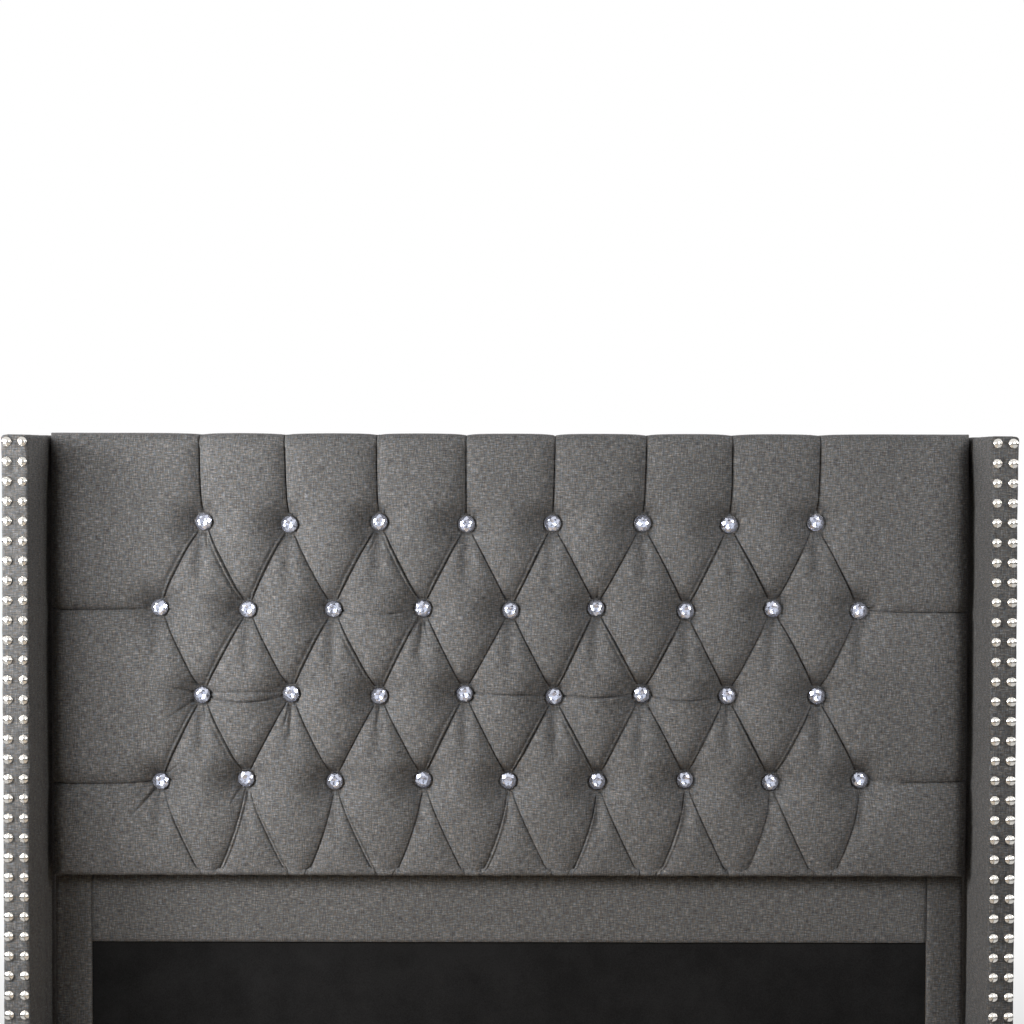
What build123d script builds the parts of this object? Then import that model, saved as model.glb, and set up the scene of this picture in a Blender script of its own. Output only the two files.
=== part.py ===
from build123d import *

import math
import os

# A queen-size upholstered bed with a wingback, diamond-tufted headboard.
#
# Frame: millimetres, +Z up, origin on the floor at the middle of the bed's footprint. +Y points from the foot end
# to the headboard, and +X to the right of someone who stands at the foot end and faces the headboard.
# Each function in SECTIONS makes one group of pieces, and returns a dictionary of node name to shape.

# ---- driving dimensions ----
MATTRESS_W, MATTRESS_L = 1524, 2032  # a queen mattress
HEADBOARD_H = 1420  # floor to the top of the tufted pad
WING_TOP = HEADBOARD_H - 5
RAIL_H = 355  # floor to the top of the side rails and footboard
RAIL_UNDERSIDE = 75  # clear height under the rails
FABRIC = 2  # cover fabric with its bonded backing

DECK_W = MATTRESS_W + 10  # between the side rails
DECK_L = MATTRESS_L + 8  # between the footboard and the headboard
RAIL_T = 38
RAIL_IN = DECK_W / 2
RAIL_OUT = RAIL_IN + RAIL_T
RAIL_PADDING = 6
FOOT_PADDING = 13  # to the core, cover included

WING_T = 48  # width of a wing, seen from the foot end
WING_DEPTH = 228
WING_IN = RAIL_OUT + 7
WING_OUT = WING_IN + WING_T
WING_UNDERSIDE = 30
WING_PADDING = 7

# ---- headboard layers, from the back forwards ----
FOOT_T = 60
BORDER_T = 6
BOARD_T = 9
FRAME_T = 29
LOWER_T = FABRIC + FRAME_T + BOARD_T + BORDER_T
BED_L = LOWER_T + DECK_L + FOOT_T
Y_BACK = BED_L / 2
Y_FRAME_BACK = Y_BACK - FABRIC
Y_FRAME = Y_FRAME_BACK - FRAME_T
Y_BOARD = Y_FRAME - BOARD_T
Y_BORDER = Y_BOARD - BORDER_T
Y_FOOT_IN = Y_BORDER - DECK_L
Y_FOOT_OUT = -Y_BACK
Y_WING = Y_BACK - WING_DEPTH
PAD_T = 50  # foam and cover, in front of the facing board
Y_PAD = Y_BOARD - PAD_T
PAD_EDGE_R = 28
PAD_SIDE = WING_IN - 2
SEAM_Z = 637  # where the tufted pad meets the flat border under it
PAD_TOP_PADDING = 6
FRAME_TOP = HEADBOARD_H - FABRIC - PAD_TOP_PADDING
HEM_Z = HEADBOARD_H - 46  # how far the pad's cover is turned down behind the frame
BACK_COVER_Z = 42
BLACK_PANEL_TOP = 511
BORDER_SIDE_W = 64
LOWER_BOARD_Z = 60

# ---- tufting: rows of crystal buttons ----
BUTTON_PITCH_X = 155.5
BUTTON_PITCH_Z = 152.5
TOP_ROW_Z = HEADBOARD_H - 159
ROW_COUNTS = (8, 9, 8, 9)
HAND_SLIP = 2.4  # how far a hand-set button lies from its place in the grid
POCKET_R = 16
POCKET_DEPTH = 40
GEM_R = 14.2
GEM_SIDES = 12
GEM_TABLE_R = 8.5
SETTING_R = 15
SHANK_R = 2.2
TWINE_R = 1.2
ANCHOR_R, ANCHOR_T = 9, 3

# ---- timber frame ----
POST_W = 70
TOP_RAIL_H = 70
MID_RAIL_H = 70
BOTTOM_RAIL_Z, BOTTOM_RAIL_H = 190, 80
STILE_X, STILE_W = 1.75 * BUTTON_PITCH_X, 40  # between two columns of buttons
GLIDE_R, GLIDE_H = 13, 5

# ---- nailheads ----
NAIL_R, NAIL_H = 8.2, 4.6
NAIL_SHANK_R, NAIL_SHANK_L = 1.2, 14
NAIL_EDGE = 11  # from each edge of the wing's front face to a column's centre
NAIL_PITCH = 33.6
NAIL_TOP_GAP = 12  # from the wing's top to the first nails

# ---- deck ----
SLAT_COUNT, SLAT_W, SLAT_T = 14, 70, 18
DECK_Z = 275  # top of the slats
LEDGER_W, LEDGER_H = 25, 35
LEDGER_SCREWS = 8  # in each ledger
BEAM_W, BEAM_H = 44, 44
STRAP_X, STRAP_W, STRAP_T = 430, 30, 1.2
CENTRE_LEG_W = 40
CENTRE_LEG_Y = {"head": 640, "mid": 0, "foot": -640}
STUD_R, STUD_TOP = 4, 62
LEVELLING_PAD_R, LEVELLING_PAD_H = 18, 8
LEVELLING_HEX_R, LEVELLING_HEX_H = 7.5, 5
CENTRE_LEG_Z = LEVELLING_PAD_H + LEVELLING_HEX_H + 0.3  # the foot is screwed right up to the leg
INSERT_R, INSERT_L = 8, 20
STUD_HOLE_MARGIN = 8  # above the stud when the foot is screwed right up
RUNNING_GAP = 0.1

# ---- steel fittings ----
PLATE = 3
BRACKET_ARM, BRACKET_Z, BRACKET_H = 68, 112, 95
BRACKET_HOLE_Z = (BRACKET_Z + 20, BRACKET_Z + BRACKET_H - 20)
BRACKET_WALL_HOLE, BRACKET_RAIL_HOLE = 16, 44  # from the arms' corner and from the wall
BOLT_R, BOLT_HEAD_R, BOLT_HEAD_H = 4, 7, 5
BOLT_CLEARANCE = 0.4
WING_BOLT_Z = (330, 700, 1000, 1280)
WING_BOLT_REACH = 26
WALL_BOLT_L, RAIL_BOLT_REACH = 38, 26
CENTRE_LEG_BOLT_L, CENTRE_LEG_BOLT_DROP = 72, 40  # the drop is below the beam
FOOT_LEG_BOLT_L, FOOT_LEG_BOLT_DROP = 70, 30  # the drop is below the footboard
INSERT_NUT_R, INSERT_NUT_L = 6.5, 14
SCREW_R, SCREW_HEAD_R, SCREW_HEAD_H = 2, 4, 2.4
LEDGER_SCREW_BITE, SLAT_SCREW_BITE, HANGER_SCREW_L = 22, 18, 28  # a bite is beyond the first piece
LEDGER_SCREW_MARGIN = 80
FOOT_LEG_X, FOOT_LEG_TOP_W, FOOT_LEG_FLOOR_W, FOOT_LEG_EDGE_R = 730, 54, 42, 6

SLAT_UNDERSIDE = DECK_Z - SLAT_T
BEAM_UNDERSIDE = SLAT_UNDERSIDE - BEAM_H
BLACK_PANEL_T = 1.5
Y_BLACK_PANEL = Y_BOARD - BLACK_PANEL_T
HANGER_HALF_W = 52
HANGER_SCREW_X = (-38, 38)
HANGER_SCREW_Z = (BEAM_UNDERSIDE + 8, SLAT_UNDERSIDE - 12)
Y_POST = (Y_FRAME + Y_FRAME_BACK) / 2
Y_FOOT = (Y_FOOT_OUT + Y_FOOT_IN) / 2
SIDES = {"left": -1, "right": 1}
RAIL_ENDS = {"head": (Y_BORDER, -1), "foot": (Y_FOOT_IN, 1)}  # the wall there, and the way off it


# ---- helpers ----
def block(x, y, z):
    """A box between two values along each axis."""
    size = [abs(high - low) for low, high in (x, y, z)]
    middle = [(low + high) / 2 for low, high in (x, y, z)]
    return Pos(*middle) * Box(*size)


def rod(start, direction, length, radius):
    """A round bar from start, along direction."""
    plane = Plane(origin=start, z_dir=direction)
    return plane * Cylinder(radius, length, align=(Align.CENTER, Align.CENTER, Align.MIN))


def mirrored(side, low, high):
    """A range along X on one side of the bed."""
    return (side * low, side * high) if side > 0 else (side * high, side * low)


def group(pieces):
    """Separate solids that share one node."""
    return Compound([solid for piece in pieces for solid in piece.solids()])


def edges_between(shape, test):
    """The edges whose centres pass a test."""
    return [edge for edge in shape.edges() if test(edge.center())]


def rounded_front(body, y_front, radius):
    """Rounds the four edges of the face that looks along -Y."""
    return fillet(edges_between(body, lambda c: abs(c.Y - y_front) < 0.01), radius)


def bolt(start, direction, length, radius=BOLT_R, head_r=BOLT_HEAD_R, head_h=BOLT_HEAD_H):
    """A bolt or screw whose head's underside is at start."""
    back = Vector(*direction) * -head_h
    return rod(start, direction, length, radius) + rod(Vector(*start) + back, direction, head_h, head_r)


def screw(start, direction, length):
    return bolt(start, direction, length, SCREW_R, SCREW_HEAD_R, SCREW_HEAD_H)


def button_places():
    """(x, z) of every button: staggered rows, each set by hand a little off the grid."""
    places = []
    for row, count in enumerate(ROW_COUNTS):
        for place in range(count):
            x = (place - (count - 1) / 2) * BUTTON_PITCH_X
            z = TOP_ROW_Z - row * BUTTON_PITCH_Z
            slip_x = HAND_SLIP * math.sin(4.1 * place + 2.3 * row + 0.6)
            slip_z = HAND_SLIP * math.sin(2.7 * place + 5.2 * row + 1.9)
            places.append((x + slip_x, z + slip_z))
    return places


BUTTONS = button_places()


# ---- headboard frame ----
def headboard_frame():
    made = {}
    frame_y = (Y_FRAME, Y_FRAME_BACK)
    post_in = WING_IN - POST_W
    for name, side in SIDES.items():
        made[f"headboard_post_{name}"] = block(
            mirrored(side, post_in, WING_IN), frame_y, (GLIDE_H, FRAME_TOP)
        )
        made[f"headboard_stile_{name}"] = block(
            mirrored(side, STILE_X - STILE_W / 2, STILE_X + STILE_W / 2),
            frame_y,
            (SEAM_Z + MID_RAIL_H / 2, FRAME_TOP - TOP_RAIL_H),
        )
    rails = {
        "top": (FRAME_TOP - TOP_RAIL_H, FRAME_TOP),
        "mid": (SEAM_Z - MID_RAIL_H / 2, SEAM_Z + MID_RAIL_H / 2),
        "bottom": (BOTTOM_RAIL_Z, BOTTOM_RAIL_Z + BOTTOM_RAIL_H),
    }
    for name, height in rails.items():
        made[f"headboard_{name}_rail"] = block((-post_in, post_in), frame_y, height)
    return made


def facing_boards():
    upper = block((-PAD_SIDE, PAD_SIDE), (Y_BOARD, Y_FRAME), (SEAM_Z, FRAME_TOP))
    holes = [rod((x, Y_BOARD - 1, z), (0, 1, 0), BOARD_T + 2, SHANK_R) for x, z in BUTTONS]
    lower = block((-PAD_SIDE, PAD_SIDE), (Y_BOARD, Y_FRAME), (LOWER_BOARD_Z, SEAM_Z))
    return {"upper_facing_board": upper - holes, "lower_facing_board": lower}


# ---- tufted pad ----
def pad_block(inset):
    """The pad's body, inset from the cover's outer surface, and open to the frame behind it."""
    side = PAD_SIDE - inset
    body = block(
        (-side, side),
        (Y_PAD + inset, Y_BACK - inset),
        (SEAM_Z + inset, HEADBOARD_H - inset),
    )
    return rounded_front(body, Y_PAD + inset, PAD_EDGE_R - inset)


def pockets(radius, depth):
    return [rod((x, Y_PAD - 1, z), (0, 1, 0), depth + 1, radius) for x, z in BUTTONS]


def tufted_pad():
    reach = PAD_SIDE + 1
    frame_space = block((-reach, reach), (Y_BOARD, Y_FRAME_BACK), (SEAM_Z - 1, FRAME_TOP))
    behind_board = block((-reach, reach), (Y_BOARD, Y_FRAME_BACK), (SEAM_Z - 1, HEADBOARD_H - FABRIC))
    below_hem = block((-reach, reach), (Y_FRAME_BACK, Y_BACK + 1), (SEAM_Z - 1, HEM_Z))
    twine_holes = [rod((x, Y_PAD, z), (0, 1, 0), PAD_T + 1, SHANK_R + 0.2) for x, z in BUTTONS]
    inner = pad_block(FABRIC) - pockets(POCKET_R + FABRIC, POCKET_DEPTH + FABRIC)
    foam = inner - frame_space - twine_holes
    cover = pad_block(0) - pockets(POCKET_R, POCKET_DEPTH) - inner - behind_board - below_hem - twine_holes
    return {"tufted_foam": foam, "tufted_cover": cover}


# ---- crystal buttons ----
def gem():
    """A faceted crystal about the origin, its table towards -Y and its girdle at y = 0."""
    face = Plane(origin=(0, 0, 0), x_dir=(1, 0, 0), z_dir=(0, -1, 0))

    def outline(height, radius):
        return face.offset(height) * RegularPolygon(radius, GEM_SIDES)

    crown = loft([outline(0.5, GEM_R), outline(4.4, GEM_TABLE_R)])
    girdle = extrude(outline(-0.5, GEM_R), 1)
    pavilion = loft([outline(-3.2, GEM_R - 5), outline(-0.5, GEM_R)])
    return crown + girdle + pavilion


def setting():
    """The metal cup that holds a gem, with the shank that takes the twine; the cup's back is at y = 0."""
    cup = rod((0, -6.4, 0), (0, 1, 0), 6.4, SETTING_R) - rod((0, -6.5, 0), (0, 1, 0), 4.0, GEM_R + 0.1)
    return cup + rod((0, -0.5, 0), (0, 1, 0), 5.5, SHANK_R)


def buttons():
    pocket_floor = Y_PAD + POCKET_DEPTH
    one_gem, one_setting = gem(), setting()
    gems, settings, twines, anchors = [], [], [], []
    for x, z in BUTTONS:
        gems.append(Pos(x, pocket_floor - 5.7, z) * one_gem)
        settings.append(Pos(x, pocket_floor, z) * one_setting)
        twine_start = pocket_floor + 5
        knot_y = Y_FRAME + ANCHOR_T + 3.2
        twine = rod((x, twine_start, z), (0, 1, 0), knot_y - twine_start, TWINE_R)
        twines.append(twine + Pos(x, knot_y, z) * Sphere(3))
        disc = rod((x, Y_FRAME, z), (0, 1, 0), ANCHOR_T, ANCHOR_R)
        anchors.append(disc - rod((x, Y_FRAME - 1, z), (0, 1, 0), ANCHOR_T + 2, TWINE_R + 0.3))
    return {
        "button_crystals": group(gems),
        "button_settings": group(settings),
        "tufting_twines": group(twines),
        "twine_anchors": group(anchors),
    }


# ---- lower headboard ----
def lower_headboard():
    inner_x = PAD_SIDE - BORDER_SIDE_W
    made = {
        "border_band": block((-inner_x, inner_x), (Y_BORDER, Y_BOARD), (BLACK_PANEL_TOP, SEAM_Z - 1)),
        "black_panel_cover": block(
            (-inner_x + 0.3, inner_x - 0.3),
            (Y_BLACK_PANEL, Y_BOARD),
            (LOWER_BOARD_Z, BLACK_PANEL_TOP - 0.3),
        ),
        "headboard_back_cover": block(
            (-PAD_SIDE + 2, PAD_SIDE - 2), (Y_FRAME_BACK, Y_FRAME_BACK + 1), (BACK_COVER_Z, HEM_Z - 1)
        ),
    }
    for name, side in SIDES.items():
        made[f"border_strip_{name}"] = block(
            mirrored(side, inner_x + 0.3, PAD_SIDE), (Y_BORDER, Y_BOARD), (LOWER_BOARD_Z, SEAM_Z - 1)
        )
    return made


def staple(x, z, upright):
    """A U-shaped staple through the back cover, its crown along Z if upright and along X if not."""
    half, wire, leg = 6, 1.0, 9
    y_crown = Y_FRAME_BACK + 1
    dx, dz = (0, half) if upright else (half, 0)
    width = wire / 2
    crown = block(
        (x - dx - width, x + dx + width), (y_crown, y_crown + 0.8), (z - dz - width, z + dz + width)
    )
    for sign in (-1, 1):
        leg_x, leg_z = x + sign * dx, z + sign * dz
        crown += block(
            (leg_x - width, leg_x + width), (y_crown - leg, y_crown + 0.4), (leg_z - width, leg_z + width)
        )
    return crown


def back_cover_staples():
    edge_x = PAD_SIDE - 14
    low, high = BACK_COVER_Z + 60, HEM_Z - 14
    per_side, per_end = 14, 16
    made = []
    for step in range(per_side):
        z = low + (high - low) * step / (per_side - 1)
        made += [staple(side * edge_x, z, True) for side in SIDES.values()]
    for step in range(1, per_end):
        x = -edge_x + 2 * edge_x * step / per_end
        made += [staple(x, z, False) for z in (BOTTOM_RAIL_Z + 40, high)]
    return {"back_cover_staples": group(made)}


# ---- wings ----
def wing_box(side, inset, bottom):
    return block(
        mirrored(side, WING_IN + inset, WING_OUT - inset),
        (Y_WING + inset, Y_BACK - FABRIC if inset else Y_BACK),
        (bottom, WING_TOP - inset),
    )


def softened(body, y_front, z_top, radius):
    """Rounds a wing's front and top edges."""
    front = edges_between(body, lambda c: abs(c.Y - y_front) < 0.01 and c.Z > WING_UNDERSIDE + 10)
    top = edges_between(body, lambda c: abs(c.Z - z_top) < 0.01 and abs(c.Y - y_front) > 1)
    return fillet(front + top, radius)


def nail(x, y, z):
    """A domed nail, its head standing out along -Y from the face at y."""
    cap_r = (NAIL_R**2 + NAIL_H**2) / (2 * NAIL_H)
    ball = Pos(x, y + cap_r - NAIL_H, z) * Sphere(cap_r)
    dome = ball & block((x - NAIL_R, x + NAIL_R), (y - NAIL_H, y), (z - NAIL_R, z + NAIL_R))
    return dome + rod((x, y - 0.5, z), (0, 1, 0), NAIL_SHANK_L + 0.5, NAIL_SHANK_R)


def nailheads(side):
    count = int((WING_TOP - NAIL_TOP_GAP - WING_UNDERSIDE - NAIL_EDGE) / NAIL_PITCH) + 1
    columns = (WING_IN + NAIL_EDGE, WING_OUT - NAIL_EDGE)
    one = nail(0, Y_WING, 0)
    return group(
        Pos(side * x, 0, WING_TOP - NAIL_TOP_GAP - NAIL_PITCH * step) * one
        for x in columns
        for step in range(count)
    )


def wings():
    made = {}
    core_inset = FABRIC + WING_PADDING
    for name, side in SIDES.items():
        outer = softened(wing_box(side, 0, WING_UNDERSIDE), Y_WING, WING_TOP, 7)
        padding = softened(
            wing_box(side, FABRIC, WING_UNDERSIDE), Y_WING + FABRIC, WING_TOP - FABRIC, 5
        )
        core = wing_box(side, core_inset, WING_UNDERSIDE)
        made[f"wing_core_{name}"] = core
        made[f"wing_foam_{name}"] = padding - core
        made[f"wing_cover_{name}"] = outer - padding
        made[f"wing_nailheads_{name}"] = nailheads(side)
    return made


# ---- side rails ----
def rail_section(side, inset, radius):
    body = block(
        mirrored(side, RAIL_IN + inset, RAIL_OUT - inset),
        (Y_FOOT_IN, Y_BORDER),
        (RAIL_UNDERSIDE + inset, RAIL_H - inset),
    )
    if not radius:
        return body
    long_edges = edges_between(body, lambda c: abs(c.Y - (Y_FOOT_IN + Y_BORDER) / 2) < 1)
    return fillet(long_edges, radius)


def side_rails():
    made = {}
    for name, side in SIDES.items():
        outer = rail_section(side, 0, 10)
        padding = rail_section(side, FABRIC, 8)
        core = rail_section(side, FABRIC + RAIL_PADDING, 0)
        made[f"side_rail_core_{name}"] = core
        made[f"side_rail_foam_{name}"] = padding - core
        made[f"side_rail_cover_{name}"] = outer - padding
        made[f"ledger_{name}"] = block(
            mirrored(side, RAIL_IN - LEDGER_W, RAIL_IN),
            (Y_FOOT_IN + 10, Y_BORDER - 10),
            (SLAT_UNDERSIDE - LEDGER_H, SLAT_UNDERSIDE),
        )
    return made


# ---- footboard ----
def foot_box(inset, thick_inset, radius):
    body = block(
        (-WING_IN + inset, WING_IN - inset),
        (Y_FOOT_OUT + thick_inset, Y_FOOT_IN - thick_inset),
        (RAIL_UNDERSIDE, RAIL_H - inset),
    )
    if not radius:
        return body
    rim = edges_between(body, lambda c: c.Z > RAIL_UNDERSIDE + 10)
    return fillet(rim, radius)


def foot_leg(side):
    """A tapered block leg, wider at the top."""
    top = Plane.XY.offset(RAIL_UNDERSIDE) * Pos(side * FOOT_LEG_X, Y_FOOT) * RectangleRounded(
        FOOT_LEG_TOP_W, FOOT_LEG_TOP_W, FOOT_LEG_EDGE_R
    )
    bottom = Plane.XY.offset(GLIDE_H) * Pos(side * FOOT_LEG_X, Y_FOOT) * RectangleRounded(
        FOOT_LEG_FLOOR_W, FOOT_LEG_FLOOR_W, FOOT_LEG_EDGE_R
    )
    return loft([bottom, top])


def footboard():
    outer, inner = foot_box(0, 0, 14), foot_box(FABRIC, FABRIC, 12)
    core = foot_box(FOOT_PADDING, FOOT_PADDING, 0)
    made = {
        "footboard_core": core,
        "footboard_foam": inner - core,
        "footboard_cover": outer - inner,
    }
    for name, side in SIDES.items():
        made[f"foot_leg_{name}"] = foot_leg(side)
    spots = [(side * FOOT_LEG_X, Y_FOOT) for side in SIDES.values()]
    spots += [(side * (WING_IN - POST_W / 2), Y_POST) for side in SIDES.values()]
    made["floor_glides"] = group(
        chamfer(disc.edges().group_by(Axis.Z)[0], 1.2)
        for disc in (rod((x, y, 0), (0, 0, 1), GLIDE_H, GLIDE_R) for x, y in spots)
    )
    return made


# ---- slatted deck ----
def slat_centres():
    pitch = DECK_L / SLAT_COUNT
    return [Y_FOOT_IN + pitch * (step + 0.5) for step in range(SLAT_COUNT)]


def deck():
    centres = slat_centres()
    slat_x = RAIL_IN - 2
    slats = [
        fillet(
            block((-slat_x, slat_x), (y - SLAT_W / 2, y + SLAT_W / 2), (SLAT_UNDERSIDE, DECK_Z))
            .edges()
            .filter_by(Axis.X),
            3,
        )
        for y in centres
    ]
    strap_y = (centres[0] - SLAT_W / 2, centres[-1] + SLAT_W / 2)
    straps = [
        block(
            (side * STRAP_X - STRAP_W / 2, side * STRAP_X + STRAP_W / 2),
            strap_y,
            (SLAT_UNDERSIDE - STRAP_T, SLAT_UNDERSIDE),
        )
        for side in SIDES.values()
    ]
    beam = block(
        (-BEAM_W / 2, BEAM_W / 2),
        (Y_FOOT_IN + PLATE + 0.5, Y_BLACK_PANEL - PLATE - 0.5),
        (BEAM_UNDERSIDE, SLAT_UNDERSIDE),
    )
    return {"slats": group(slats), "slat_straps": group(straps), "centre_beam": beam}


def beam_hanger(wall_y, towards):
    """A steel cradle for an end of the centre beam. Its plate lies on the wall, and towards points off the wall."""
    half, reach = BEAM_W / 2 + 0.3, 42
    bottom, top = BEAM_UNDERSIDE - 0.3, SLAT_UNDERSIDE - 2

    def run(length):
        return sorted((wall_y, wall_y + towards * length))

    hanger = block((-HANGER_HALF_W, HANGER_HALF_W), run(PLATE), (bottom - PLATE, top))
    hanger += block((-half - PLATE, half + PLATE), run(reach), (bottom - PLATE, bottom))
    for side in SIDES.values():
        hanger += block(mirrored(side, half, half + PLATE), run(reach), (bottom - PLATE, top - 8))
    holes = [
        rod((x, wall_y - 10, z), (0, 1, 0), 20, SCREW_R + 0.3) for x in HANGER_SCREW_X for z in HANGER_SCREW_Z
    ]
    return hanger - holes


def beam_hangers():
    return {
        "beam_hanger_head": beam_hanger(Y_BLACK_PANEL, -1),
        "beam_hanger_foot": beam_hanger(Y_FOOT_IN, 1),
    }


def wood_screws():
    """Screws that hold the ledgers to the rails, the end slats to the ledgers, and the beam's hangers."""
    centres = slat_centres()
    ledger_face = RAIL_IN - LEDGER_W
    ledger_z = SLAT_UNDERSIDE - LEDGER_H / 2
    ledger_run = DECK_L - 2 * LEDGER_SCREW_MARGIN
    made = []
    for side in SIDES.values():
        for step in range(LEDGER_SCREWS):
            y = Y_FOOT_IN + LEDGER_SCREW_MARGIN + ledger_run * step / (LEDGER_SCREWS - 1)
            made.append(screw((side * ledger_face, y, ledger_z), (side, 0, 0), LEDGER_W + LEDGER_SCREW_BITE))
        for y in (centres[0], centres[-1]):
            top = (side * (ledger_face + LEDGER_W / 2), y, DECK_Z - SCREW_HEAD_H)
            made.append(screw(top, (0, 0, -1), SLAT_T + SLAT_SCREW_BITE))
    for wall_y, towards in ((Y_BLACK_PANEL, -1), (Y_FOOT_IN, 1)):
        made += [
            screw((x, wall_y + towards * PLATE, z), (0, -towards, 0), HANGER_SCREW_L)
            for x in HANGER_SCREW_X
            for z in HANGER_SCREW_Z
        ]
    return {"wood_screws": group(made)}


# ---- centre legs and their levelling feet ----
def levelling_foot(y):
    pad = rod((0, y, 0), (0, 0, 1), LEVELLING_PAD_H, LEVELLING_PAD_R)
    pad = chamfer(pad.edges().group_by(Axis.Z)[-1], 3)
    hexagon = Plane.XY.offset(LEVELLING_PAD_H) * Pos(0, y) * RegularPolygon(LEVELLING_HEX_R, 6)
    return pad + extrude(hexagon, LEVELLING_HEX_H) + rod((0, y, 0.5), (0, 0, 1), STUD_TOP - 0.5, STUD_R)


def centre_legs():
    made, inserts = {}, []
    half = CENTRE_LEG_W / 2
    for name, y in CENTRE_LEG_Y.items():
        bottom = (0, y, CENTRE_LEG_Z)
        socket = rod(bottom, (0, 0, 1), INSERT_L, INSERT_R)
        stud_hole = rod(bottom, (0, 0, 1), STUD_TOP - CENTRE_LEG_Z + STUD_HOLE_MARGIN, STUD_R + 1)
        leg = block((-half, half), (y - half, y + half), (CENTRE_LEG_Z, BEAM_UNDERSIDE))
        made[f"centre_leg_{name}"] = leg - socket - stud_hole
        inserts.append(socket - rod(bottom, (0, 0, 1), INSERT_L, STUD_R + RUNNING_GAP))
        made[f"levelling_foot_{name}"] = levelling_foot(y)
    made["centre_leg_inserts"] = group(inserts)
    return made


def leg_bolts():
    """Hanger bolts, screwed into each leg and into what stands on it."""
    made = [
        rod((0, y, BEAM_UNDERSIDE - CENTRE_LEG_BOLT_DROP), (0, 0, 1), CENTRE_LEG_BOLT_L, BOLT_R)
        for y in CENTRE_LEG_Y.values()
    ]
    made += [
        rod(
            (side * FOOT_LEG_X, Y_FOOT, RAIL_UNDERSIDE - FOOT_LEG_BOLT_DROP),
            (0, 0, 1),
            FOOT_LEG_BOLT_L,
            BOLT_R,
        )
        for side in SIDES.values()
    ]
    return {"leg_bolts": group(made)}


# ---- corner brackets, and the bolts that hold the bed together ----
def corner_brackets():
    """Steel angles: one arm on a rail's inner face, and one on the headboard or footboard."""
    height = (BRACKET_Z, BRACKET_Z + BRACKET_H)
    angles = []
    for wall_y, towards in RAIL_ENDS.values():
        along = sorted((wall_y, wall_y + towards * BRACKET_ARM))
        thick = sorted((wall_y, wall_y + towards * PLATE))
        for side in SIDES.values():
            rail_arm = block(mirrored(side, RAIL_IN - PLATE, RAIL_IN), along, height)
            angles.append(rail_arm + block(mirrored(side, RAIL_IN - BRACKET_ARM, RAIL_IN), thick, height))
    return {"corner_brackets": group(angles)}


def bolt_runs():
    """Every bolt as the point under its head, its direction, its length, and the nodes that it goes through."""
    runs = []
    for name, side in SIDES.items():
        outward = (side, 0, 0)
        post = f"headboard_post_{name}"
        wing = [f"wing_{layer}_{name}" for layer in ("cover", "foam", "core")]
        rail = [f"side_rail_{layer}_{name}" for layer in ("cover", "foam", "core")]
        walls = {
            "head": [f"border_strip_{name}", "lower_facing_board", post],
            "foot": ["footboard_cover", "footboard_foam", "footboard_core"],
        }
        for z in WING_BOLT_Z:
            start = (side * (WING_IN - POST_W), Y_POST, z)
            runs.append((start, outward, POST_W + WING_BOLT_REACH, [post] + wing))
        for end, (wall_y, towards) in RAIL_ENDS.items():
            wall_start_y = wall_y + towards * PLATE
            rail_y = wall_y + towards * BRACKET_RAIL_HOLE
            for z in BRACKET_HOLE_Z:
                wall_start = (side * (RAIL_IN - BRACKET_WALL_HOLE), wall_start_y, z)
                rail_start = (side * (RAIL_IN - PLATE), rail_y, z)
                runs.append((wall_start, (0, -towards, 0), WALL_BOLT_L, ["corner_brackets"] + walls[end]))
                runs.append((rail_start, outward, PLATE + RAIL_BOLT_REACH, ["corner_brackets"] + rail))
    return runs


def bolts_and_nuts():
    """The bolts, and the threaded inserts in the timber that the brackets' bolts go into."""
    runs = bolt_runs()
    nuts = []
    for start, direction, length, names in runs:
        if "corner_brackets" in names:
            tip = Vector(*start) + Vector(*direction) * (length - INSERT_NUT_L)
            sleeve = rod(tip, direction, INSERT_NUT_L, INSERT_NUT_R)
            nuts.append(sleeve - rod(tip, direction, INSERT_NUT_L, BOLT_R))
    bolts = [bolt(start, direction, length) for start, direction, length, _ in runs]
    return {"assembly_bolts": group(bolts), "bracket_insert_nuts": group(nuts)}


def drill(nodes):
    """Cuts the bolts' clearance holes in every piece that they go through."""
    for start, direction, length, names in bolt_runs():
        hole = rod(start, direction, length, BOLT_R + BOLT_CLEARANCE)
        for name in names:
            nodes[name] = nodes[name] - hole


# ---- all nodes ----
SECTIONS = (
    headboard_frame,
    facing_boards,
    tufted_pad,
    buttons,
    lower_headboard,
    back_cover_staples,
    wings,
    side_rails,
    footboard,
    deck,
    beam_hangers,
    wood_screws,
    centre_legs,
    leg_bolts,
    corner_brackets,
    bolts_and_nuts,
)


def main():
    os.makedirs("parts", exist_ok=True)
    nodes = {}
    for section in SECTIONS:
        nodes.update(section())
    drill(nodes)
    for name, shape in nodes.items():
        export_step(shape, f"parts/{name}.step")
    print(len(nodes), "nodes")


main()
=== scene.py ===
"""An upholstered bed with a wingback, diamond-tufted headboard. Metres, in the CAD model's frame: +Z up, and
+Y from the foot end to the headboard."""

import math

import bmesh
import bpy
import numpy as np
from mathutils import Euler, Matrix, Vector, noise


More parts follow.
